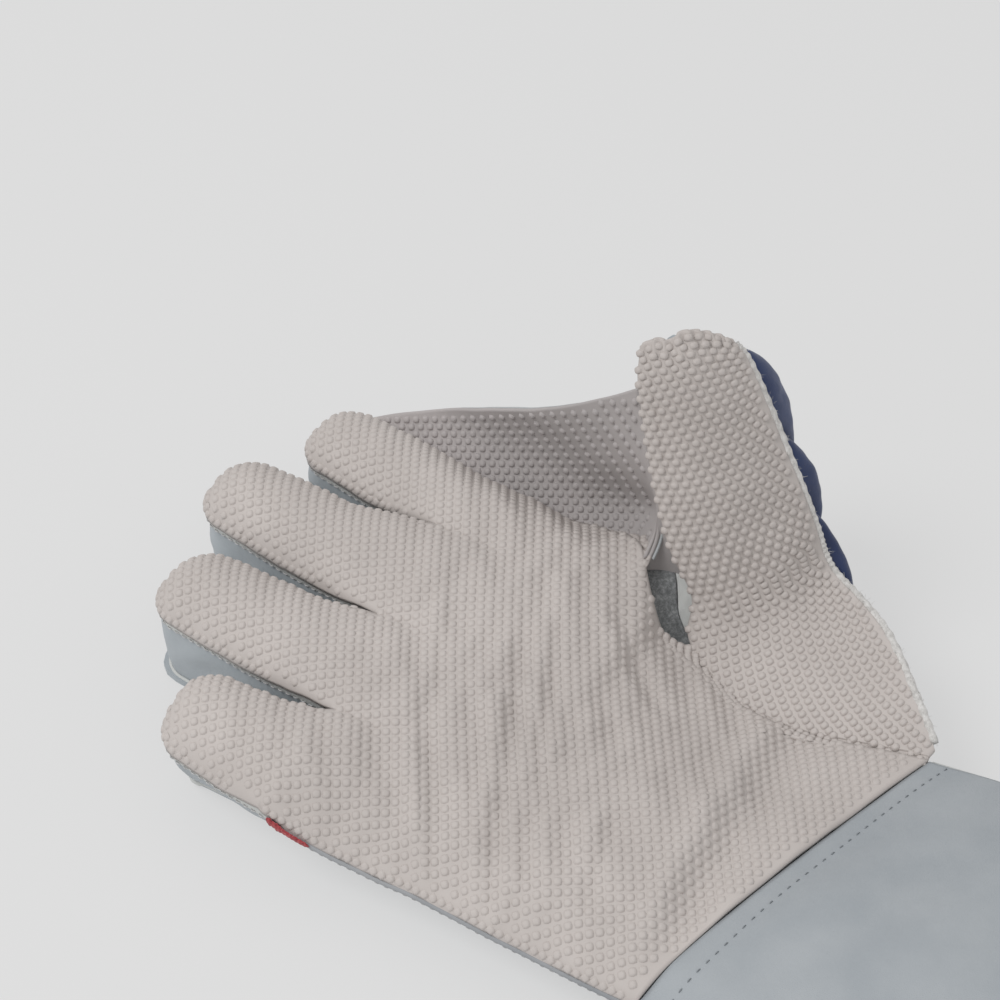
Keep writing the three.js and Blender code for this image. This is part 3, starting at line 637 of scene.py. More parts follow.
def grained_material(name, roughness, broad, stops, fine, strength, depth):
    """Cloudy colour over a fine even grain: broad and fine are scale, detail and roughness of a noise."""
    material, tree, shader, coords = new_material(name, stops[-1][1], roughness)
    colour_ramp(tree, shader, noise_node(tree, coords, *broad).outputs["Fac"], stops)
    bump(tree, shader, noise_node(tree, coords, *fine).outputs["Fac"], strength, depth)
    return material, shader


def rubber_material(name, light, dark, roughness=0.6):
    stops = [(0.35, dark), (0.62, light)]
    material, shader = grained_material(name, roughness, (28, 3), stops, (1700, 3, 0.7), 0.25, 0.0002)
    shader.inputs["Specular IOR Level"].default_value = 0.35
    return material


def leather_material(name, light, dark, roughness, grain=2300, depth=0.00025, crease=0.35):
    material, tree, shader, coords = new_material(name, light, roughness)
    broad = noise_node(tree, coords, 45, 5)
    colour_ramp(tree, shader, broad.outputs["Fac"], [(0.3, dark), (0.65, light)])
    cells = tree.nodes.new("ShaderNodeTexVoronoi")
    cells.feature = "DISTANCE_TO_EDGE"
    cells.inputs["Scale"].default_value = grain
    tree.links.new(coords.outputs["Object"], cells.inputs["Vector"])
    first = bump(tree, shader, cells.outputs["Distance"], 0.35, depth)
    folds = noise_node(tree, coords, 120, 6, 0.6)
    bump(tree, shader, folds.outputs["Fac"], crease, 0.0009, first)
    return material


def suede_material(name, colours, speckle):
    stops = list(zip((0.36, 0.5, 0.66), colours))
    material, shader = grained_material(name, 0.95, (speckle, 4, 0.75), stops, (3000, 2), 0.5, 0.0003)
    shader.inputs["Sheen Weight"].default_value = 0.25
    return material


def thread_material(name, colour):
    material, tree, shader, coords = new_material(name, colour, 0.7)
    twist = tree.nodes.new("ShaderNodeTexWave")
    twist.inputs["Scale"].default_value = 900
    tree.links.new(coords.outputs["Object"], twist.inputs["Vector"])
    colour_ramp(tree, shader, twist.outputs["Fac"], [(0.0, tuple(0.75 * c for c in colour)), (1.0, colour)])
    return material


rubber = rubber_material("palm_rubber_look", rgb(195, 188, 184), rgb(186, 179, 175))
# web rubber: the palm's rubber darkened as painted shade, and made a little greyer
web_shaded_look = rubber_material("web_rubber_painted_shade_look", rgb(178, 172, 171), rgb(169, 164, 163), 0.65)
leather = leather_material("shell_leather_look", rgb(171, 177, 181), rgb(158, 165, 170), 0.55)
# cuff leather: the shell leather darkened as painted shade
cuff_shaded_look = leather_material("cuff_leather_painted_shade_look", rgb(165, 170, 174), rgb(154, 160, 165), 0.55)
hem_look = leather_material("hem_leather_look", rgb(202, 203, 200), rgb(188, 190, 189), 0.6, crease=0.2)
lining_look = leather_material("lining_leather_look", rgb(183, 186, 187), rgb(168, 172, 174), 0.75)
navy = leather_material("navy_leather_look", rgb(30, 52, 98), rgb(20, 36, 76), 0.42, crease=0.25)
suede = suede_material("suede_look", [rgb(102, 104, 105), rgb(126, 128, 129), rgb(156, 158, 158)], 900)
felt = suede_material("raw_edge_look", [rgb(186, 184, 181), rgb(206, 204, 201), rgb(222, 220, 218)], 700)
piping_look = leather_material("piping_look", rgb(158, 160, 163), rgb(140, 143, 147), 0.6, crease=0.1)
red = suede_material("red_trim_look", [rgb(112, 34, 42), rgb(156, 54, 60), rgb(186, 92, 92)], 1500)
thread = thread_material("thread_look", rgb(196, 196, 196))
seam_thread = thread_material("seam_thread_look", rgb(140, 145, 150))


# Palm and finger rubber
FINGER_COLUMNS, FINGER_ROWS, PALM_ROWS = detail(14, 24), detail(30, 48), detail(70, 120)
# ripples across the palm: height, slant, wavelength, waver
RIPPLES = [(0.6, 0.12, 11.5, 2.6), (0.36, -0.7, 13, 2.0)]
RIPPLE_FROM, RIPPLE_TO, RIPPLE_FADE = -118, 14, 30
CREASE_END, CREASE_FADE = 6, 14
# the long fold near the cuff: its ends, how it fades, then height, offset and width of crest and trough
FOLD_START, FOLD_END = np.array([32.0, -101.0]), np.array([-45.0, -113.0])
FOLD_BEFORE, FOLD_AFTER, FOLD_FADE_IN, FOLD_FADE_OUT = 22, 92, 26, 30
CREST_HEIGHT, CREST_PLACE, CREST_WIDTH = 2.1, 2.5, 4.5
TROUGH_DEPTH, TROUGH_PLACE, TROUGH_WIDTH = 2.5, -5, 5.5
# how far the sheet's edges roll down, and the share of the width or length that rolls
PALM_ROLL, PALM_ROLL_SHARE, FINGER_ROLL, FINGER_ROLL_SHARE = 1.3, 0.016, 1.5, 0.14
# palm studs: waver of their rows, cells each way, least distance to a rim stud, then the room each needs
STUD_WAVER, STUD_CELLS, RIM_STUD_GAP = (0.9, 0.7), 70, 1.6
STUD_ROOM, KNUCKLE_ROOM, KNUCKLE_ZONE = 0.4, 1.0, 14
CUFF_ZONE, FINGER_STUDS_FROM, RAY_HEIGHT = -90, -4, 90


def palm_relief(points):
    """Ripples, creases and the long fold near the cuff, as a height in millimetres."""
    flat = points[..., :2]
    away, across = flat @ AWAY, flat @ ACROSS
    slow = lumps(points * np.array([1, 1, 0.2]), 60, 3)
    patchy = ease(0.5 + 0.9 * lumps(points, 34, 8))
    y = points[..., 1]
    inner = ease((y - RIPPLE_FROM) / RIPPLE_FADE) * ease((RIPPLE_TO - y) / RIPPLE_FADE)
    ripple = 0
    for (height, slant, wavelength, waver), strength in zip(RIPPLES, (patchy, 1 - patchy)):
        phase = 2 * math.pi * (across + slant * away) / wavelength + waver * slow
        ripple = ripple + height * np.sin(phase) * strength
    cuts = np.zeros_like(across)
    for a0, b0, a1, b1, depth, width in CREASES:
        length = math.hypot(a1 - a0, b1 - b0)
        place = ((across - a0) * (a1 - a0) + (away - b0) * (b1 - b0)) / length
        beside = ((across - a0) * (b1 - b0) - (away - b0) * (a1 - a0)) / length + 2.2 * slow
        shape = 0.7 * bell(beside, 1.3 * width, width) - bell(beside, 0, width)
        fade = ease((length + CREASE_END - place) / CREASE_FADE)
        cuts += 1.4 * depth * shape * ease((place + CREASE_END) / CREASE_FADE) * fade
    way = (FOLD_END - FOLD_START) / np.linalg.norm(FOLD_END - FOLD_START)
    beside = (flat - FOLD_START) @ np.array([way[1], -way[0]]) + 1.5 * slow
    place = (flat - FOLD_START) @ way
    window = ease((place + FOLD_BEFORE) / FOLD_FADE_IN) * ease((FOLD_AFTER - place) / FOLD_FADE_OUT)
    crest = CREST_HEIGHT * bell(beside, CREST_PLACE, CREST_WIDTH)
    trough = TROUGH_DEPTH * bell(beside, TROUGH_PLACE, TROUGH_WIDTH)
    uneven = 0.4 * lumps(points, 30, 5)
    return ripple * (0.3 + 0.7 * inner) + cuts * inner + (crest - trough) * window + uneven


def rolled_palm(u, v):
    point = palm(u, v)
    point[..., 2] -= PALM_ROLL * np.clip((PALM_ROLL_SHARE - u) / PALM_ROLL_SHARE, 0, 1) ** 2
    return point


def rolled_finger(f, s, t):
    point = finger(f, s, t)
    start = 1 - FINGER_ROLL_SHARE
    side = np.clip((np.abs(s) - start) / FINGER_ROLL_SHARE, 0, 1) ** 2 * ease(t * 6)
    tip = np.clip((t - start) / FINGER_ROLL_SHARE, 0, 1) ** 2
    point[..., 2] -= FINGER_ROLL * np.maximum(side, tip)
    return point


def hand_net():
    """Points and faces of the palm and the four fingers, joined along the knuckles."""
    shares = [f[0] + (f[1] - f[0]) * np.arange(FINGER_COLUMNS) / FINGER_COLUMNS for f in FINGERS]
    shares = np.concatenate(shares + [np.array([KNUCKLE_END])])
    columns = len(shares)
    grid = rolled_palm(knuckle_place(shares)[None, :], np.linspace(0, 1, PALM_ROWS + 1)[:, None])
    points = [grid.reshape(-1, 3)]
    faces = [grid_faces(PALM_ROWS + 1, columns)[:, ::-1]]
    count = grid.shape[0] * columns
    s = np.linspace(-1, 1, FINGER_COLUMNS + 1)[None, :]
    t = (np.arange(1, FINGER_ROWS + 1) / FINGER_ROWS)[:, None]
    for n, f in enumerate(FINGERS):
        net = rolled_finger(f, s, t)
        points.append(net.reshape(-1, 3))
        index = np.concatenate([np.arange(n * FINGER_COLUMNS, (n + 1) * FINGER_COLUMNS + 1)[None, :],
                                count + np.arange(net.shape[0] * net.shape[1]).reshape(net.shape[:2])])
        a, b = index[:-1, :-1], index[:-1, 1:]
        faces.append(np.stack([a, b, index[1:, 1:], index[1:, :-1]], -1).reshape(-1, 4))
        count += net.shape[0] * net.shape[1]
    return np.concatenate(points), np.concatenate(faces)


def closed_net(points, faces, drop):
    """Closed body from a net and a copy moved by drop."""
    count = len(points)
    edges = {}
    for face in faces.tolist():
        for a, b in zip(face, face[1:] + face[:1]):
            if edges.pop((b, a), None) is None:
                edges[(a, b)] = True
    rim_faces = [[a, count + a, count + b, b] for a, b in edges]
    verts = np.concatenate([points, points + drop])
    return verts, faces.tolist() + (faces[:, ::-1] + count).tolist() + rim_faces


palm_points, palm_faces = hand_net()
palm_points[:, 2] += palm_relief(palm_points)
verts, faces = closed_net(palm_points, palm_faces, -SHEET_EDGE * UP)
palm_piece = make("palm_sheet", verts, faces, rubber)
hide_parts("palm_rubber")

palm_tree = BVHTree.FromPolygons(palm_points.tolist(), palm_faces.tolist())


def palm_hit(x, y):
    return palm_tree.ray_cast(Vector((x, y, RAY_HEIGHT)), Vector((0, 0, -1)))[:2]


def palm_studs():
    centres, normals = [], []
    probes = [(1.0, 0), (-1.0, 0), (0, 1.0), (0, -1.0), (0.7, 0.7), (-0.7, -0.7), (0.7, -0.7), (-0.7, 0.7)]
    cells = range(-STUD_CELLS, STUD_CELLS + 1)
    for i, j in itertools.product(cells, cells):
        x, y = ACROSS * (i * STUD_ACROSS) + AWAY * (j * STUD_AWAY)
        x += STUD_WAVER[0] * math.sin(y / 17 + 0.4) * math.cos(x / 31)
        y += STUD_WAVER[1] * math.sin(x / 19 + 1.1)
        where, normal = palm_hit(x, y)
        if where is None:
            continue
        room = KNUCKLE_ROOM if abs(y) < KNUCKLE_ZONE else STUD_ROOM
        if any(palm_hit(x + room * a, y + room * b)[0] is None for a, b in probes):
            continue
        if y < CUFF_ZONE and palm_hit(x, y - CUFF_MARGIN)[0] is None:
            continue
        centres.append(where[:])
        normals.append(normal[:])
    return np.array(centres), upward(np.array(normals))


def rim_studs():
    t, s = np.linspace(0.2, 0.975, 160), np.linspace(-0.95, 0.95, 90)
    paths = [rolled_palm(0.004, np.linspace(0, 0.97, 300))]
    for f in FINGERS:
        paths += [rolled_finger(f, -0.975, t), rolled_finger(f, 0.975, t), rolled_finger(f, s, 0.975)]
    places = np.concatenate([even_places(path, RIM_STUD) for path in paths])
    found = [palm_tree.find_nearest(Vector(place)) for place in places]
    return np.array([hit[0][:] for hit in found]), upward(np.array([hit[1][:] for hit in found]))


centres, normals = palm_studs()
rim_centres, rim_normals = rim_studs()
clear = np.linalg.norm(centres[:, None, :] - rim_centres[None, :, :], axis=-1).min(1) > RIM_STUD_GAP
centres = np.concatenate([centres[clear], rim_centres])
normals = np.concatenate([normals[clear], rim_normals])
shape, shape_faces = stud_shape(STUD_RADIUS, STUD_HEIGHT)
frames = frames_from(normals, np.tile(np.array([*AWAY, 0.0]), (len(centres), 1)))
on_fingers = centres[:, 1] > FINGER_STUDS_FROM
for name, pick in (("finger_studs", on_fingers), ("palm_studs", ~on_fingers)):
    piece = joined(name, shape, shape_faces, centres[pick], frames[pick], rubber)


# Finger walls
FINGER_NAMES = ["little", "ring", "middle", "index"]
WALL_ROWS, FINGER_STEPS, TIP_STEPS = 16, 36, 15
PUFF, PUFF_FADE, WALL_WAVE = 0.7, 9, 3.1
# slanting wrinkles and soft unevenness of the little finger's wall, then of the others
LITTLE_WRINKLE, WRINKLE, LITTLE_SOFT, SOFT = 0.12, 0.6, 0.3, 0.8
# hem strip: heights of its rows under the wall's upper edge, stand-off, thickness
HEM_ROWS, HEM_OUT, HEM_THICK = (2.6, 2.1, 1.1, 0.2, -0.5), 0.55, 0.45
HEM_STITCH_OUT, HEM_STITCH_DOWN, HEM_STITCH_PITCH, HEM_STITCH_RADIUS = 0.62, 1.8, 2.6, 0.22
BACK_SEAM_HEIGHT, BACK_SEAM_RADIUS, PIPING_RADIUS = 1.75, 0.62, 0.75


def finger_foot(n, side, t):
    """How far a finger's wall is drawn in at the floor: side is -1 toward the little finger, else 1."""
    outer = n == 0 and side < 0
    start = LITTLE_FOOT if outer else OVERHANG
    end = LITTLE_FOOT * 0.5 if outer else FOOT
    if n == 3 and side > 0:
        start = FOOT
    return mix(start, end, ease(t * (1 if outer else 3)))


def wall_outline(n):
    """Upper edge of finger n's wall, and how far its foot is drawn in at each point."""
    f = FINGERS[n]
    t = np.linspace(0, 1, FINGER_STEPS + 1)
    up = finger(f, 1, t)
    tip_s = np.linspace(1, -1, TIP_STEPS)[1:-1]
    tip = finger(f, tip_s, 1)
    down = finger(f, -1, t)[::-1]
    feet = [finger_foot(n, 1, t), np.full(len(tip_s), FOOT), finger_foot(n, -1, t)[::-1]]
    parts = [up, tip, down]
    if n == 3:
        v = np.linspace(0.25, 0.02, 14)
        parts.insert(0, palm(1, v))
        feet.insert(0, np.full(len(v), FOOT))
    else:
        parts.insert(0, up[:1] + np.array([[-GAP / 2, -OVERHANG, 0]]))
        feet.insert(0, np.zeros(1))
    if n == 0:
        v = np.linspace(0.02, 1, 60)
        parts.append(palm(0, v))
        feet.append(outer_foot(v))
    else:
        parts.append(down[-1:] + np.array([[GAP / 2, -OVERHANG, 0]]))
        feet.append(np.zeros(1))
    return np.concatenate(parts), np.concatenate(feet)


def wall_grid(n):
    """Grid of finger n's wall from foot to rim, and the outward direction at each column."""
    outline, foot = wall_outline(n)
    flat = outline[:, :2]
    way = np.concatenate([flat[1:], flat[-1:]]) - np.concatenate([flat[:1], flat[:-1]])
    out = unit(np.stack([way[:, 1], -way[:, 0], np.zeros(len(way))], -1))
    length = lengths_along(flat)
    share = np.linspace(1, 0, WALL_ROWS)[:, None]
    top = outline[:, 2] - RUBBER - GAP
    z = mix(top, BACK + GAP, share)
    inset = np.where(foot == 0, 0, wall_inset(np.maximum(foot, 0.01), share))
    room = ease(length / PUFF_FADE) * ease((length[-1] - length) / PUFF_FADE)
    arch = np.sin(math.pi * share)
    base = stack(outline[:, 0] - out[:, 0] * inset, outline[:, 1] - out[:, 1] * inset, z)
    diagonal = np.sin((length + 14 * share) / WALL_WAVE + 3 * lumps(base, 40, 20 + n))
    crease = (LITTLE_WRINKLE if n == 0 else WRINKLE) * diagonal * arch ** 2
    soft = (LITTLE_SOFT if n == 0 else SOFT) * lumps(base, 16, 30 + n) * arch
    move = PUFF * arch * room + (crease + soft) * room
    return base + move[..., None] * out, out


walls = [wall_grid(n) for n in range(len(FINGERS))]
inside = slice(2, -2)
for finger_name, (grid, out) in zip(FINGER_NAMES, walls):
    piece = sheet_piece(f"wall_{finger_name}", grid, WALL, leather)
    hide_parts(f"side_{finger_name}")
    upper = grid[-1]
    hem = np.stack([upper + out * HEM_OUT - h * UP for h in HEM_ROWS])[:, inside]
    hem[0] -= out[inside] * 0.3
    piece = sheet_piece(f"hem_{finger_name}", hem, HEM_THICK, hem_look)
    path = (upper + out * HEM_STITCH_OUT - HEM_STITCH_DOWN * UP)[inside]
    name = f"hem_stitches_{finger_name}"
    piece = stitches(name, path, out[inside], HEM_STITCH_PITCH, thread, HEM_STITCH_RADIUS)

# rolled seam where the walls meet the back, and grey piping along the outer edge of the palm
for finger_name, (grid, out) in zip(FINGER_NAMES, walls):
    low = grid[0] + out * 0.1
    low[:, 2] = BACK_SEAM_HEIGHT
    piece = tube(f"back_seam_{finger_name}", low[1:-1], BACK_SEAM_RADIUS, hem_look, 8, wobble=0.05)

v = np.linspace(0.015, 0.995, 90)
edge = palm(0, v)
edge[:, 0] += 0.15
edge[:, 2] -= RUBBER + 0.35
piece = tube("outer_piping", edge, PIPING_RADIUS, piping_look, 10)


# Thumb
# its rubber, in millimetres: seam depth, unevenness, puckers, rolled edge, how far the tip drops and dips
SEAM_DEPTH, THUMB_SOFT, TIP_PUCKER, THUMB_ROLL, TIP_DROP, TIP_DIP = 0.35, 0.45, 0.4, 0.8, 0.8, 2.2
ROLL_SHARE, SHELL_PUCKER, SHELL_SOFT, THUMB_HEM = 0.07, 0.55, 0.55, 0.9
THUMB_STUD_PITCH, THUMB_ROW_PITCH, THUMB_STUD_RADIUS, THUMB_STUD_HEIGHT = 3.05, 2.15, 0.97, 0.7
RAW_EDGE_RADIUS, FIBRE_COUNT, FIBRE_LENGTH, FIBRE_RADIUS = 1.15, 900, 1.5, 0.07
PAD_SOFT, PAD_ROUNDING = 0.25, 0.1


def thumb_shaped(u, v):
    """The thumb's rubber, with a side seam, a puckered tip and a rolled edge."""
    u, v = matched(u, v)
    point = thumb(u, v)
    normal = surface_normal(thumb, u, v)
    seam = -SEAM_DEPTH * bell(u, 0.12, 0.02) * ease((v - 0.5) * 20)
    soft = THUMB_SOFT * lumps(point, 26, 41)
    tip = ease((v - 0.88) / 0.12)
    pucker = TIP_PUCKER * np.sin(u * 2 * math.pi * 8 + 1) * tip
    roll = THUMB_ROLL * np.clip((ROLL_SHARE - u) / ROLL_SHARE, 0, 1) ** 2 * ease((v - 0.3) * 5)
    point = point + normal * (seam + soft + pucker - roll - TIP_DROP * tip * tip)[..., None]
    point[..., 2] -= TIP_DIP * bell(u, 0.3, 0.09) * tip
    return point


grid = thumb_shaped(*unit_grid(detail(60, 90), detail(120, 180)))
piece = sheet_piece("thumb_sheet", grid, SHEET_EDGE, rubber)
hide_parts("thumb_rubber")


def row_studs(surface, rows, pitch, margins):
    """Studs in staggered rows: rows is the list of v values, margins are millimetres at both ends."""
    centres, normals, along = [], [], []
    u = np.linspace(0, 1, 200)
    for k, v in enumerate(rows):
        length = lengths_along(surface(u, np.full_like(u, v)))
        places = np.arange(margins[0] + (k % 2) * pitch / 2, length[-1] - margins[1], pitch)
        if len(places) == 0:
            continue
        us = np.interp(places, length, u)
        vs = np.full_like(us, v)
        centres.append(surface(us, vs))
        normals.append(surface_normal(surface, np.clip(us, 0.02, 0.98), np.clip(vs, 0.02, 0.98)))
        along.append(surface(np.clip(us + 0.01, 0, 1), vs) - surface(np.clip(us - 0.01, 0, 1), vs))
    return np.concatenate(centres), np.concatenate(normals), unit(np.concatenate(along))


v = np.linspace(0, 1, 400)
length = lengths_along(thumb_shaped(0.5, v))
rows = np.interp(np.arange(2.5, length[-1] - 0.4, THUMB_ROW_PITCH), length, v)
centres, normals, along = row_studs(thumb_shaped, rows, THUMB_STUD_PITCH, (0.4, 0.9))
shape, shape_faces = stud_shape(THUMB_STUD_RADIUS, THUMB_STUD_HEIGHT)
shape = shape * np.array([0.92, 1.08, 1])
piece = joined("thumb_studs", shape, shape_faces, centres, frames_from(normals, along), rubber)


def thumb_leather_shape(c, r):
    """The leather shell of the thumb, puckered round the tip."""
    point = thumb_back(c, r)
    normal = surface_normal(thumb_back, c, np.clip(r, 0.02, 0.98), 0.01)
    tip = bell(c, 0.4, 0.07) * np.exp(-np.maximum(r, 0) / 0.1)
    pucker = SHELL_PUCKER * np.sin(c * 2 * math.pi * 62) * tip
    soft = SHELL_SOFT * lumps(point, 22, 51) * np.sin(math.pi * np.clip(r, 0, 1))
    return point + normal * (pucker + soft)[..., None]


def thumb_hem(c, h):
    """Strip that closes the thumb between its leather and its rubber: h is 0 at the leather."""
    u, v = rim_place(c)
    top = thumb_shaped(u, v) - surface_normal(thumb, u, np.minimum(v, 0.96)) * SHEET_EDGE
    return mix(thumb_rim(c), top, h[..., None])


tc, tr = unit_grid(detail(200, 320), 8)
piece = sheet_piece("thumb_hem", thumb_hem(tc, 1 - tr), THUMB_HEM, hem_look)
grid = thumb_leather_shape(*unit_grid(detail(200, 320), detail(40, 60)))
piece = sheet_piece("thumb_shell", grid, THUMB_SKIN, leather)
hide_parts("thumb_leather")

# raw felt edge of the thumb's lining along the outer side, with short fibres
v = np.linspace(0.01, 0.985, 200)
edge = thumb(1, v)
normal = surface_normal(thumb, 0.98, np.minimum(v, 0.97))
path = edge - normal + unit(edge - thumb(0.93, v)) * 0.7
piece = tube("thumb_raw_edge", path, RAW_EDGE_RADIUS, felt, 10, wobble=0.12)


def fibres(name, path, normals, material, seed):
    """Short three-sided hairs scattered along a path."""
    pick = np.random.default_rng(seed)
    count = FIBRE_COUNT
    where = pick.uniform(0, len(path) - 1.001, count)
    k = where.astype(int)
    base = path[k] + (path[k + 1] - path[k]) * (where - k)[:, None] + pick.normal(0, 0.55, (count, 3))
    way = unit(normals[k] * 0.3 + pick.normal(0, 1, (count, 3)))
    bend = unit(pick.normal(0, 1, (count, 3)))
    reach = (FIBRE_LENGTH * pick.uniform(0.5, 1.2, count))[:, None]
    side = unit(np.cross(way, bend)) * FIBRE_RADIUS
    rings = []
    for t in (0, 0.5, 1):
        centre = base + way * reach * t + bend * reach * 0.3 * t * t
        width = 1 - 0.6 * t
        rings.append(np.stack([centre + side * width, centre + bend * FIBRE_RADIUS * width,
                               centre - side * width], 1))
    points = np.stack(rings, 1).reshape(-1, 3)
    hair = np.array(ring_faces(3, 3))
    ends = np.array([[2, 1, 0], [6, 7, 8]])
    start = 9 * np.arange(count)[:, None, None]
    faces = (hair[None] + start).reshape(-1, 4).tolist() + (ends[None] + start).reshape(-1, 3).tolist()
    return make(name, points, faces, material)


piece = fibres("thumb_raw_fibres", path, unit(path - path.mean(0)), felt, 77)

# three padded ridges up the back of the thumb
size = detail(26, 44)
a, b = unit_grid(size, size)
dome = np.sqrt(np.maximum(0, np.sin(math.pi * a) * np.sin(math.pi * b)))
for name, (start, end, low, high) in PADS.items():
    surface = lambda a, b: thumb_back(mix(start, end, a), mix(low, high, b))
    round_a = 0.5 + (a - 0.5) * (1 - PAD_ROUNDING * (2 * b - 1) ** 4)
    round_b = 0.5 + (b - 0.5) * (1 - PAD_ROUNDING * (2 * a - 1) ** 4)
    base = surface(round_a, round_b)
    normal = surface_normal(surface, np.clip(a, 0.03, 0.97), np.clip(b, 0.03, 0.97))
    lift = GAP + PAD_BORDER + (PAD - PAD_BORDER) * dome + PAD_SOFT * lumps(base, 9, 60) * dome
    outer = base + normal * lift[..., None]
    inner = base + normal * GAP
    count = size * size
    faces = grid_faces(size, size)
    ring = rim_loop(size, size)
    following = np.roll(ring, -1)
    rim = np.stack([ring, ring + count, following + count, following], -1)
    verts = np.concatenate([outer.reshape(-1, 3), inner.reshape(-1, 3)])
    piece = make(name + "_cover", verts, np.concatenate([faces, faces[:, ::-1] + count, rim]), navy)
    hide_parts(name)


# Web
WEB_SOFT, WEB_STUD_RADIUS, WEB_STUD_HEIGHT, WEB_STUD_ROOM = 0.45, 0.95, 0.72, (0.9, 0.8)


def web_shaped(u, v):
    point = web(u, v)
    return point + surface_normal(web, u, v) * (WEB_SOFT * lumps(point, 30, 71))[..., None]


grid = web_shaped(*unit_grid(detail(60, 100), detail(60, 100)))
piece = sheet_piece("web_sheet", grid, WEB_EDGE, web_shaded_look)
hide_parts("web_rubber")
behind = grid - grid_normals(grid) * (WEB_EDGE + 0.1)
piece = sheet_piece("web_backing", behind[:-1], LINING * 0.7, lining_look)
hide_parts("web_lining")


def web_studs(grid):
    """Staggered studs on the web, evenly spaced as seen along VIEW_BACK."""
    faces = grid_faces(*grid.shape[:2])
    surface = BVHTree.FromPolygons(grid.reshape(-1, 3).tolist(), faces.tolist())
    right, up = VIEW_RIGHT * WEB_STUD_ROOM[0], VIEW_UP * WEB_STUD_ROOM[1]
    centres, normals = [], []
    for j, i in itertools.product(range(-40, 90), range(-60, 60)):
        start = VIEW_RIGHT * ((i + 0.5 * (j % 2)) * WEB_ACROSS) + VIEW_UP * (j * WEB_UP)
        probes = [start, start + right, start - right, start + up, start - up]
        hits = [surface.ray_cast(Vector(p + VIEW_BACK * 400), Vector(-VIEW_BACK)) for p in probes]
        if all(hit[0] is not None for hit in hits):
            centres.append(hits[0][0][:])
            normals.append(hits[0][1][:])
    return np.array(centres), np.array(normals)


centres, normals = web_studs(grid)
normals = np.where((normals @ VIEW_BACK)[:, None] < 0, -normals, normals)
frames = frames_from(normals, np.tile(VIEW_RIGHT, (len(centres), 1)))
shape, shape_faces = stud_shape(WEB_STUD_RADIUS, WEB_STUD_HEIGHT)
piece = joined("web_studs", shape, shape_faces, centres, frames, web_shaded_look)

# Crease between palm and thumb, and the joint under the web
STRIP_THICK, FOOT_STRIP_THICK, CREASE_DIP = 1.2, 1.0, 0.6
CREASE_STUD_RADIUS, CREASE_STUD_HEIGHT, CREASE_PITCH, JOINT_PITCH = 0.95, 0.8, 2.3, 2.5


def crease(a, b):
    start = 0.015 * np.sin(math.pi * a)
    left = palm(0.985, mix(0.54 + start, 1.0, b)) - 0.5 * UP
    right = thumb(0.02, mix(0.42 - start, 0.0, b)) - 0.5 * UP
    dip = CREASE_DIP * np.sin(math.pi * a)
    return mix(left, right, a[..., None]) - dip[..., None] * UP


def under_web(a, b):
    left = palm(0.985, mix(0.12, 0.42, b)) - 0.4 * UP
    right = web(0.02, mix(0.62, 0.0, b))
    return mix(left, right, a[..., None])


def web_foot(a, b):
    return mix(web(a, 0), hole(a, 0.04), b[..., None])


a, b = unit_grid(14, 90)
piece = sheet_piece("web_foot_strip", web_foot(a, 1 - b), FOOT_STRIP_THICK, web_shaded_look)
shape, shape_faces = stud_shape(CREASE_STUD_RADIUS, CREASE_STUD_HEIGHT)
for strip_name, studs_name, surface, rows, pitch, margins in (
        ("crease_strip", "crease_studs", crease, np.linspace(0.02, 0.98, 32), CREASE_PITCH, (0.6, 0.4)),
        ("web_joint", "web_joint_studs", under_web, np.linspace(0.3, 0.99, 14), JOINT_PITCH, (0.8, 0.2))):
    piece = sheet_piece(strip_name, surface(a, 1 - b), STRIP_THICK, rubber)
    centres, normals, along = row_studs(surface, rows, pitch, margins)
    piece = joined(studs_name, shape, shape_faces, centres, frames_from(upward(normals), along), rubber)

# Hole between palm, web and thumb
for name, start, end, material, slot_name in (("crotch_patch", 0.0, 0.54, suede, "suede"),
                                              ("crotch_band", 0.57, 1.0, hem_look, "shell_leather")):
    a, b = unit_grid(36, 36)
    grid = hole(mix(start, end, a), 1 - b)
    grid = grid + grid_normals(grid) * (0.3 * lumps(grid, 8, 81))[..., None]
    piece = sheet_piece(name + "_skin", grid, SUEDE, material)
    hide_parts(name)

# Cuff
CUFF_SOFT, STITCH_LIFT, SEAM_LINE, MOUTH_LINE = 1.1, 0.05, 0.052, 0.93
SEAM_PITCH, SEAM_RADIUS, SEAM_SHARE, MOUTH_PITCH, MOUTH_RADIUS = 3.1, 0.16, 0.45, 3.0, 0.24
CUFF_PIPING, CUFF_PIPING_DROP, BINDING_SIDES, BINDING_SQUARE = 1.5, 0.62, 14, 0.7

cu, cw = unit_grid(detail(60, 100), detail(50, 80))
grid = cuff_top(1 - cu, cw)
calm = ease(cw * 8) * ease((1 - cw) * 10)
grid = grid + grid_normals(grid) * (CUFF_SOFT * lumps(grid, 45, 91) * calm)[..., None]
piece = sheet_piece("cuff_upper", grid, CUFF, cuff_shaded_look)
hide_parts("cuff_palm")
normals = grid_normals(grid)
line = int(SEAM_LINE * grid.shape[0]) + 1
path = grid[line] + normals[line] * STITCH_LIFT
piece = stitches("cuff_seam_stitches", path, normals[line], SEAM_PITCH, seam_thread, SEAM_RADIUS, SEAM_SHARE)
line = int(MOUTH_LINE * grid.shape[0])
path = grid[line] + normals[line] * STITCH_LIFT
piece = stitches("cuff_mouth_stitches", path, normals[line], MOUTH_PITCH, thread, MOUTH_RADIUS)
verts, faces = closed_sheet(cuff_under(cu, cw), CUFF)
verts[:, 2] = np.maximum(verts[:, 2], 0)
piece = make("cuff_lower", verts, faces, cuff_shaded_look)
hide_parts("cuff_back")

w = np.linspace(0.01, 0.985, 60)
for name, side in (("little", 0.0), ("thumb", 1.0)):
    path = cuff_top(side, w) - CUFF_PIPING_DROP * CUFF * UP
    piece = tube(f"cuff_piping_{name}", path, CUFF_PIPING, hem_look, 12)


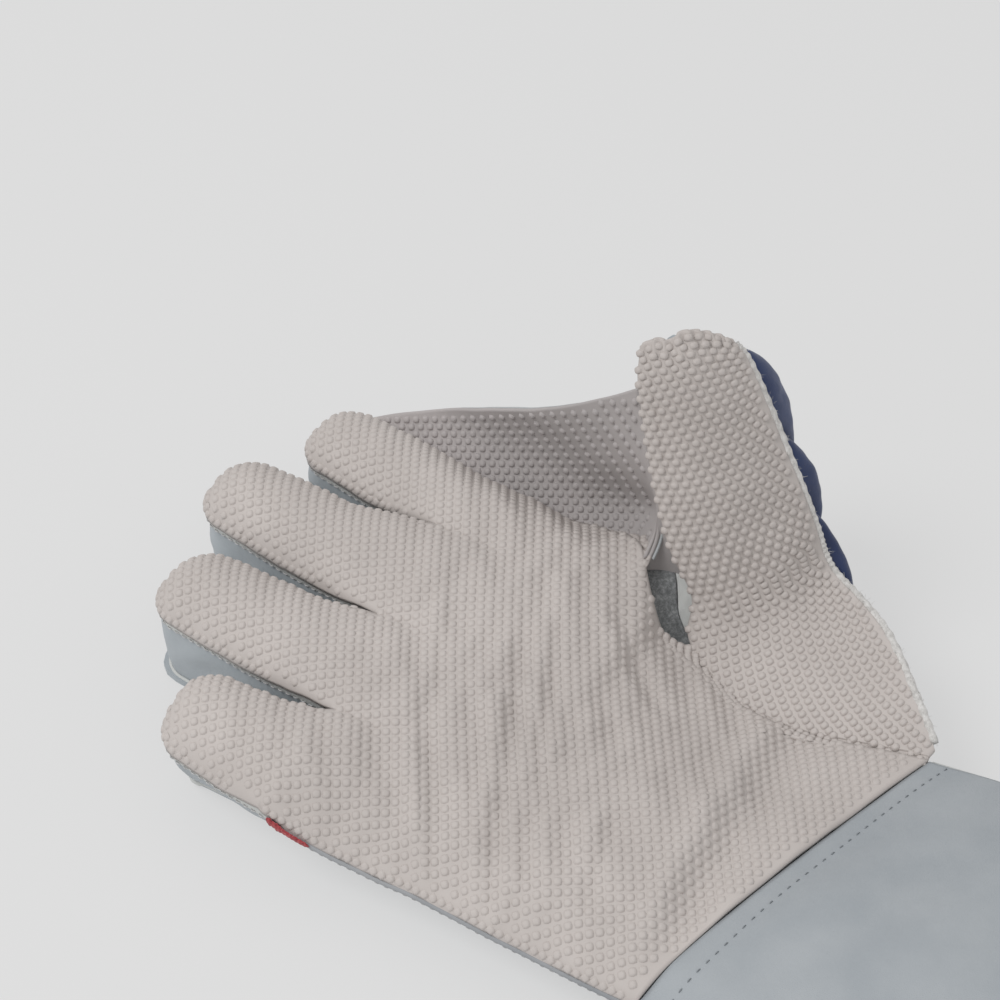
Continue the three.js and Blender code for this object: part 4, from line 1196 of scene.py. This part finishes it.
def squared(value):
    """Sine or cosine pushed outward, for a ring with flatter sides."""
    return np.sign(value) * abs(value) ** BINDING_SQUARE


def ring_piece():
    """The bound edge round the cuff's mouth."""
    c = np.linspace(0, 1, 61)
    loop = np.concatenate([cuff_top(c, 1), cuff_under(c[::-1][1:-1], 1)])
    way = np.roll(loop, -1, 0) - np.roll(loop, 1, 0)
    inward = unit(np.stack([way[:, 2], 0 * way[:, 0], -way[:, 0]], -1))
    middle = loop + inward * CUFF / 2
    points = []
    for x, y in around(BINDING_SIDES):
        point = middle + inward * ((CUFF / 2 + BINDING) * squared(x))
        point[:, 1] += BINDING_DEPTH / 2 * squared(y) - 3 * GAP - BINDING_DEPTH / 2
        point[:, 2] = np.maximum(point[:, 2], 0)
        points.append(point)
    faces = ring_faces(len(loop), BINDING_SIDES, closed=True)
    return make("cuff_edge_binding", np.stack(points, 1).reshape(-1, 3), faces, hem_look)


piece = ring_piece()
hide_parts("cuff_binding")


# Red bar
BAR_RINGS, BAR_SIDES = 48, 16


def bar_piece():
    """The short stitched bar on the outer edge, with two knots near its upper end."""
    s = np.linspace(0, 1, BAR_RINGS)
    v = TRIM_PLACE + s * TRIM_LENGTH / PALM_LENGTH
    centre = palm(0, v)
    centre[:, 0] -= GAP + TRIM_THICK / 2
    centre[:, 2] -= TRIM_DROP + TRIM_HEIGHT / 2
    knots = 0.6 + 0.4 * bell(s, 0.08, 0.09) + 0.3 * bell(s, 0.3, 0.08)
    knots *= np.sqrt(np.clip(1 - (2 * s - 1) ** 8, 0.04, 1)) * (1 + 0.1 * np.sin(s * 70))
    points = [centre + stack(x * TRIM_THICK / 2 * knots, 0, z * TRIM_HEIGHT / 2 * knots)
              for x, z in around(BAR_SIDES)]
    faces = ring_faces(BAR_RINGS, BAR_SIDES, capped=True, flipped=True)
    return make("red_bar", np.stack(points, 1).reshape(-1, 3), faces, red)


piece = bar_piece()
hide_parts("trim_bar")

# The CAD back sheet stays, in leather
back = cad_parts["back_leather"]
back.data.materials.clear()
back.data.materials.append(leather)

# Floor, light and camera
FLOOR_HALF, FLOOR_DROP, FLOOR_GLOW, SKY_STRENGTH = 3, 0.0004, 0.5, 0.68
KEY_NEAR, KEY_LEFT, KEY_HEIGHT, KEY_SIZE, KEY_POWER = 0.3, 0.8, 1.25, 0.7, 8.2
# lens and sensor, and the camera's place before SHIFT, in millimetres
LENS, SENSOR, EYE = 86.4, 36, np.array([-342.9, -278.0, 481.8])

floor_mesh = bpy.data.meshes.new("floor")
corners = [(FLOOR_HALF * x, FLOOR_HALF * y, -FLOOR_DROP) for x, y in ((-1, -1), (1, -1), (1, 1), (-1, 1))]
floor_mesh.from_pydata(corners, [], [(0, 1, 2, 3)])
floor = add("floor", floor_mesh)
floor_look, floor_tree, floor_shader, floor_coords = new_material("floor_look", rgb(132, 132, 132), 0.9)
floor_noise = noise_node(floor_tree, floor_coords, 3, 1)
floor_stops = [(0.0, rgb(131, 131, 131)), (1.0, rgb(133, 133, 133))]
colour_ramp(floor_tree, floor_shader, floor_noise.outputs["Fac"], floor_stops)
floor_shader.inputs["Specular IOR Level"].default_value = 0.0
floor_shader.inputs["Emission Color"].default_value = (1, 1, 1, 1)
floor_shader.inputs["Emission Strength"].default_value = FLOOR_GLOW
floor_mesh.materials.append(floor_look)

world = bpy.data.worlds.new("studio")
bpy.context.scene.world = world
world.use_nodes = True
world.node_tree.nodes["Background"].inputs["Color"].default_value = (1, 1, 1, 1)
world.node_tree.nodes["Background"].inputs["Strength"].default_value = SKY_STRENGTH

key_data = bpy.data.lights.new("key", "AREA")
key_data.shape = "DISK"
key_data.size = KEY_SIZE
key_data.energy = KEY_POWER
key = add("key", key_data)
key.location = (*(-AWAY * KEY_NEAR - ACROSS * KEY_LEFT), KEY_HEIGHT)
key.rotation_euler = key.location.to_track_quat("Z", "Y").to_euler()

bpy.context.scene.view_settings.view_transform = "Standard"

camera_data = bpy.data.cameras.new("camera")
camera_data.lens = LENS
camera_data.sensor_width = SENSOR
camera = add("camera", camera_data)
turn = Matrix(np.array([VIEW_RIGHT, VIEW_UP, VIEW_BACK]).tolist()).transposed().to_4x4()
camera.matrix_world = Matrix.Translation(Vector((EYE - SHIFT) / 1000)) @ turn
bpy.context.scene.camera = camera
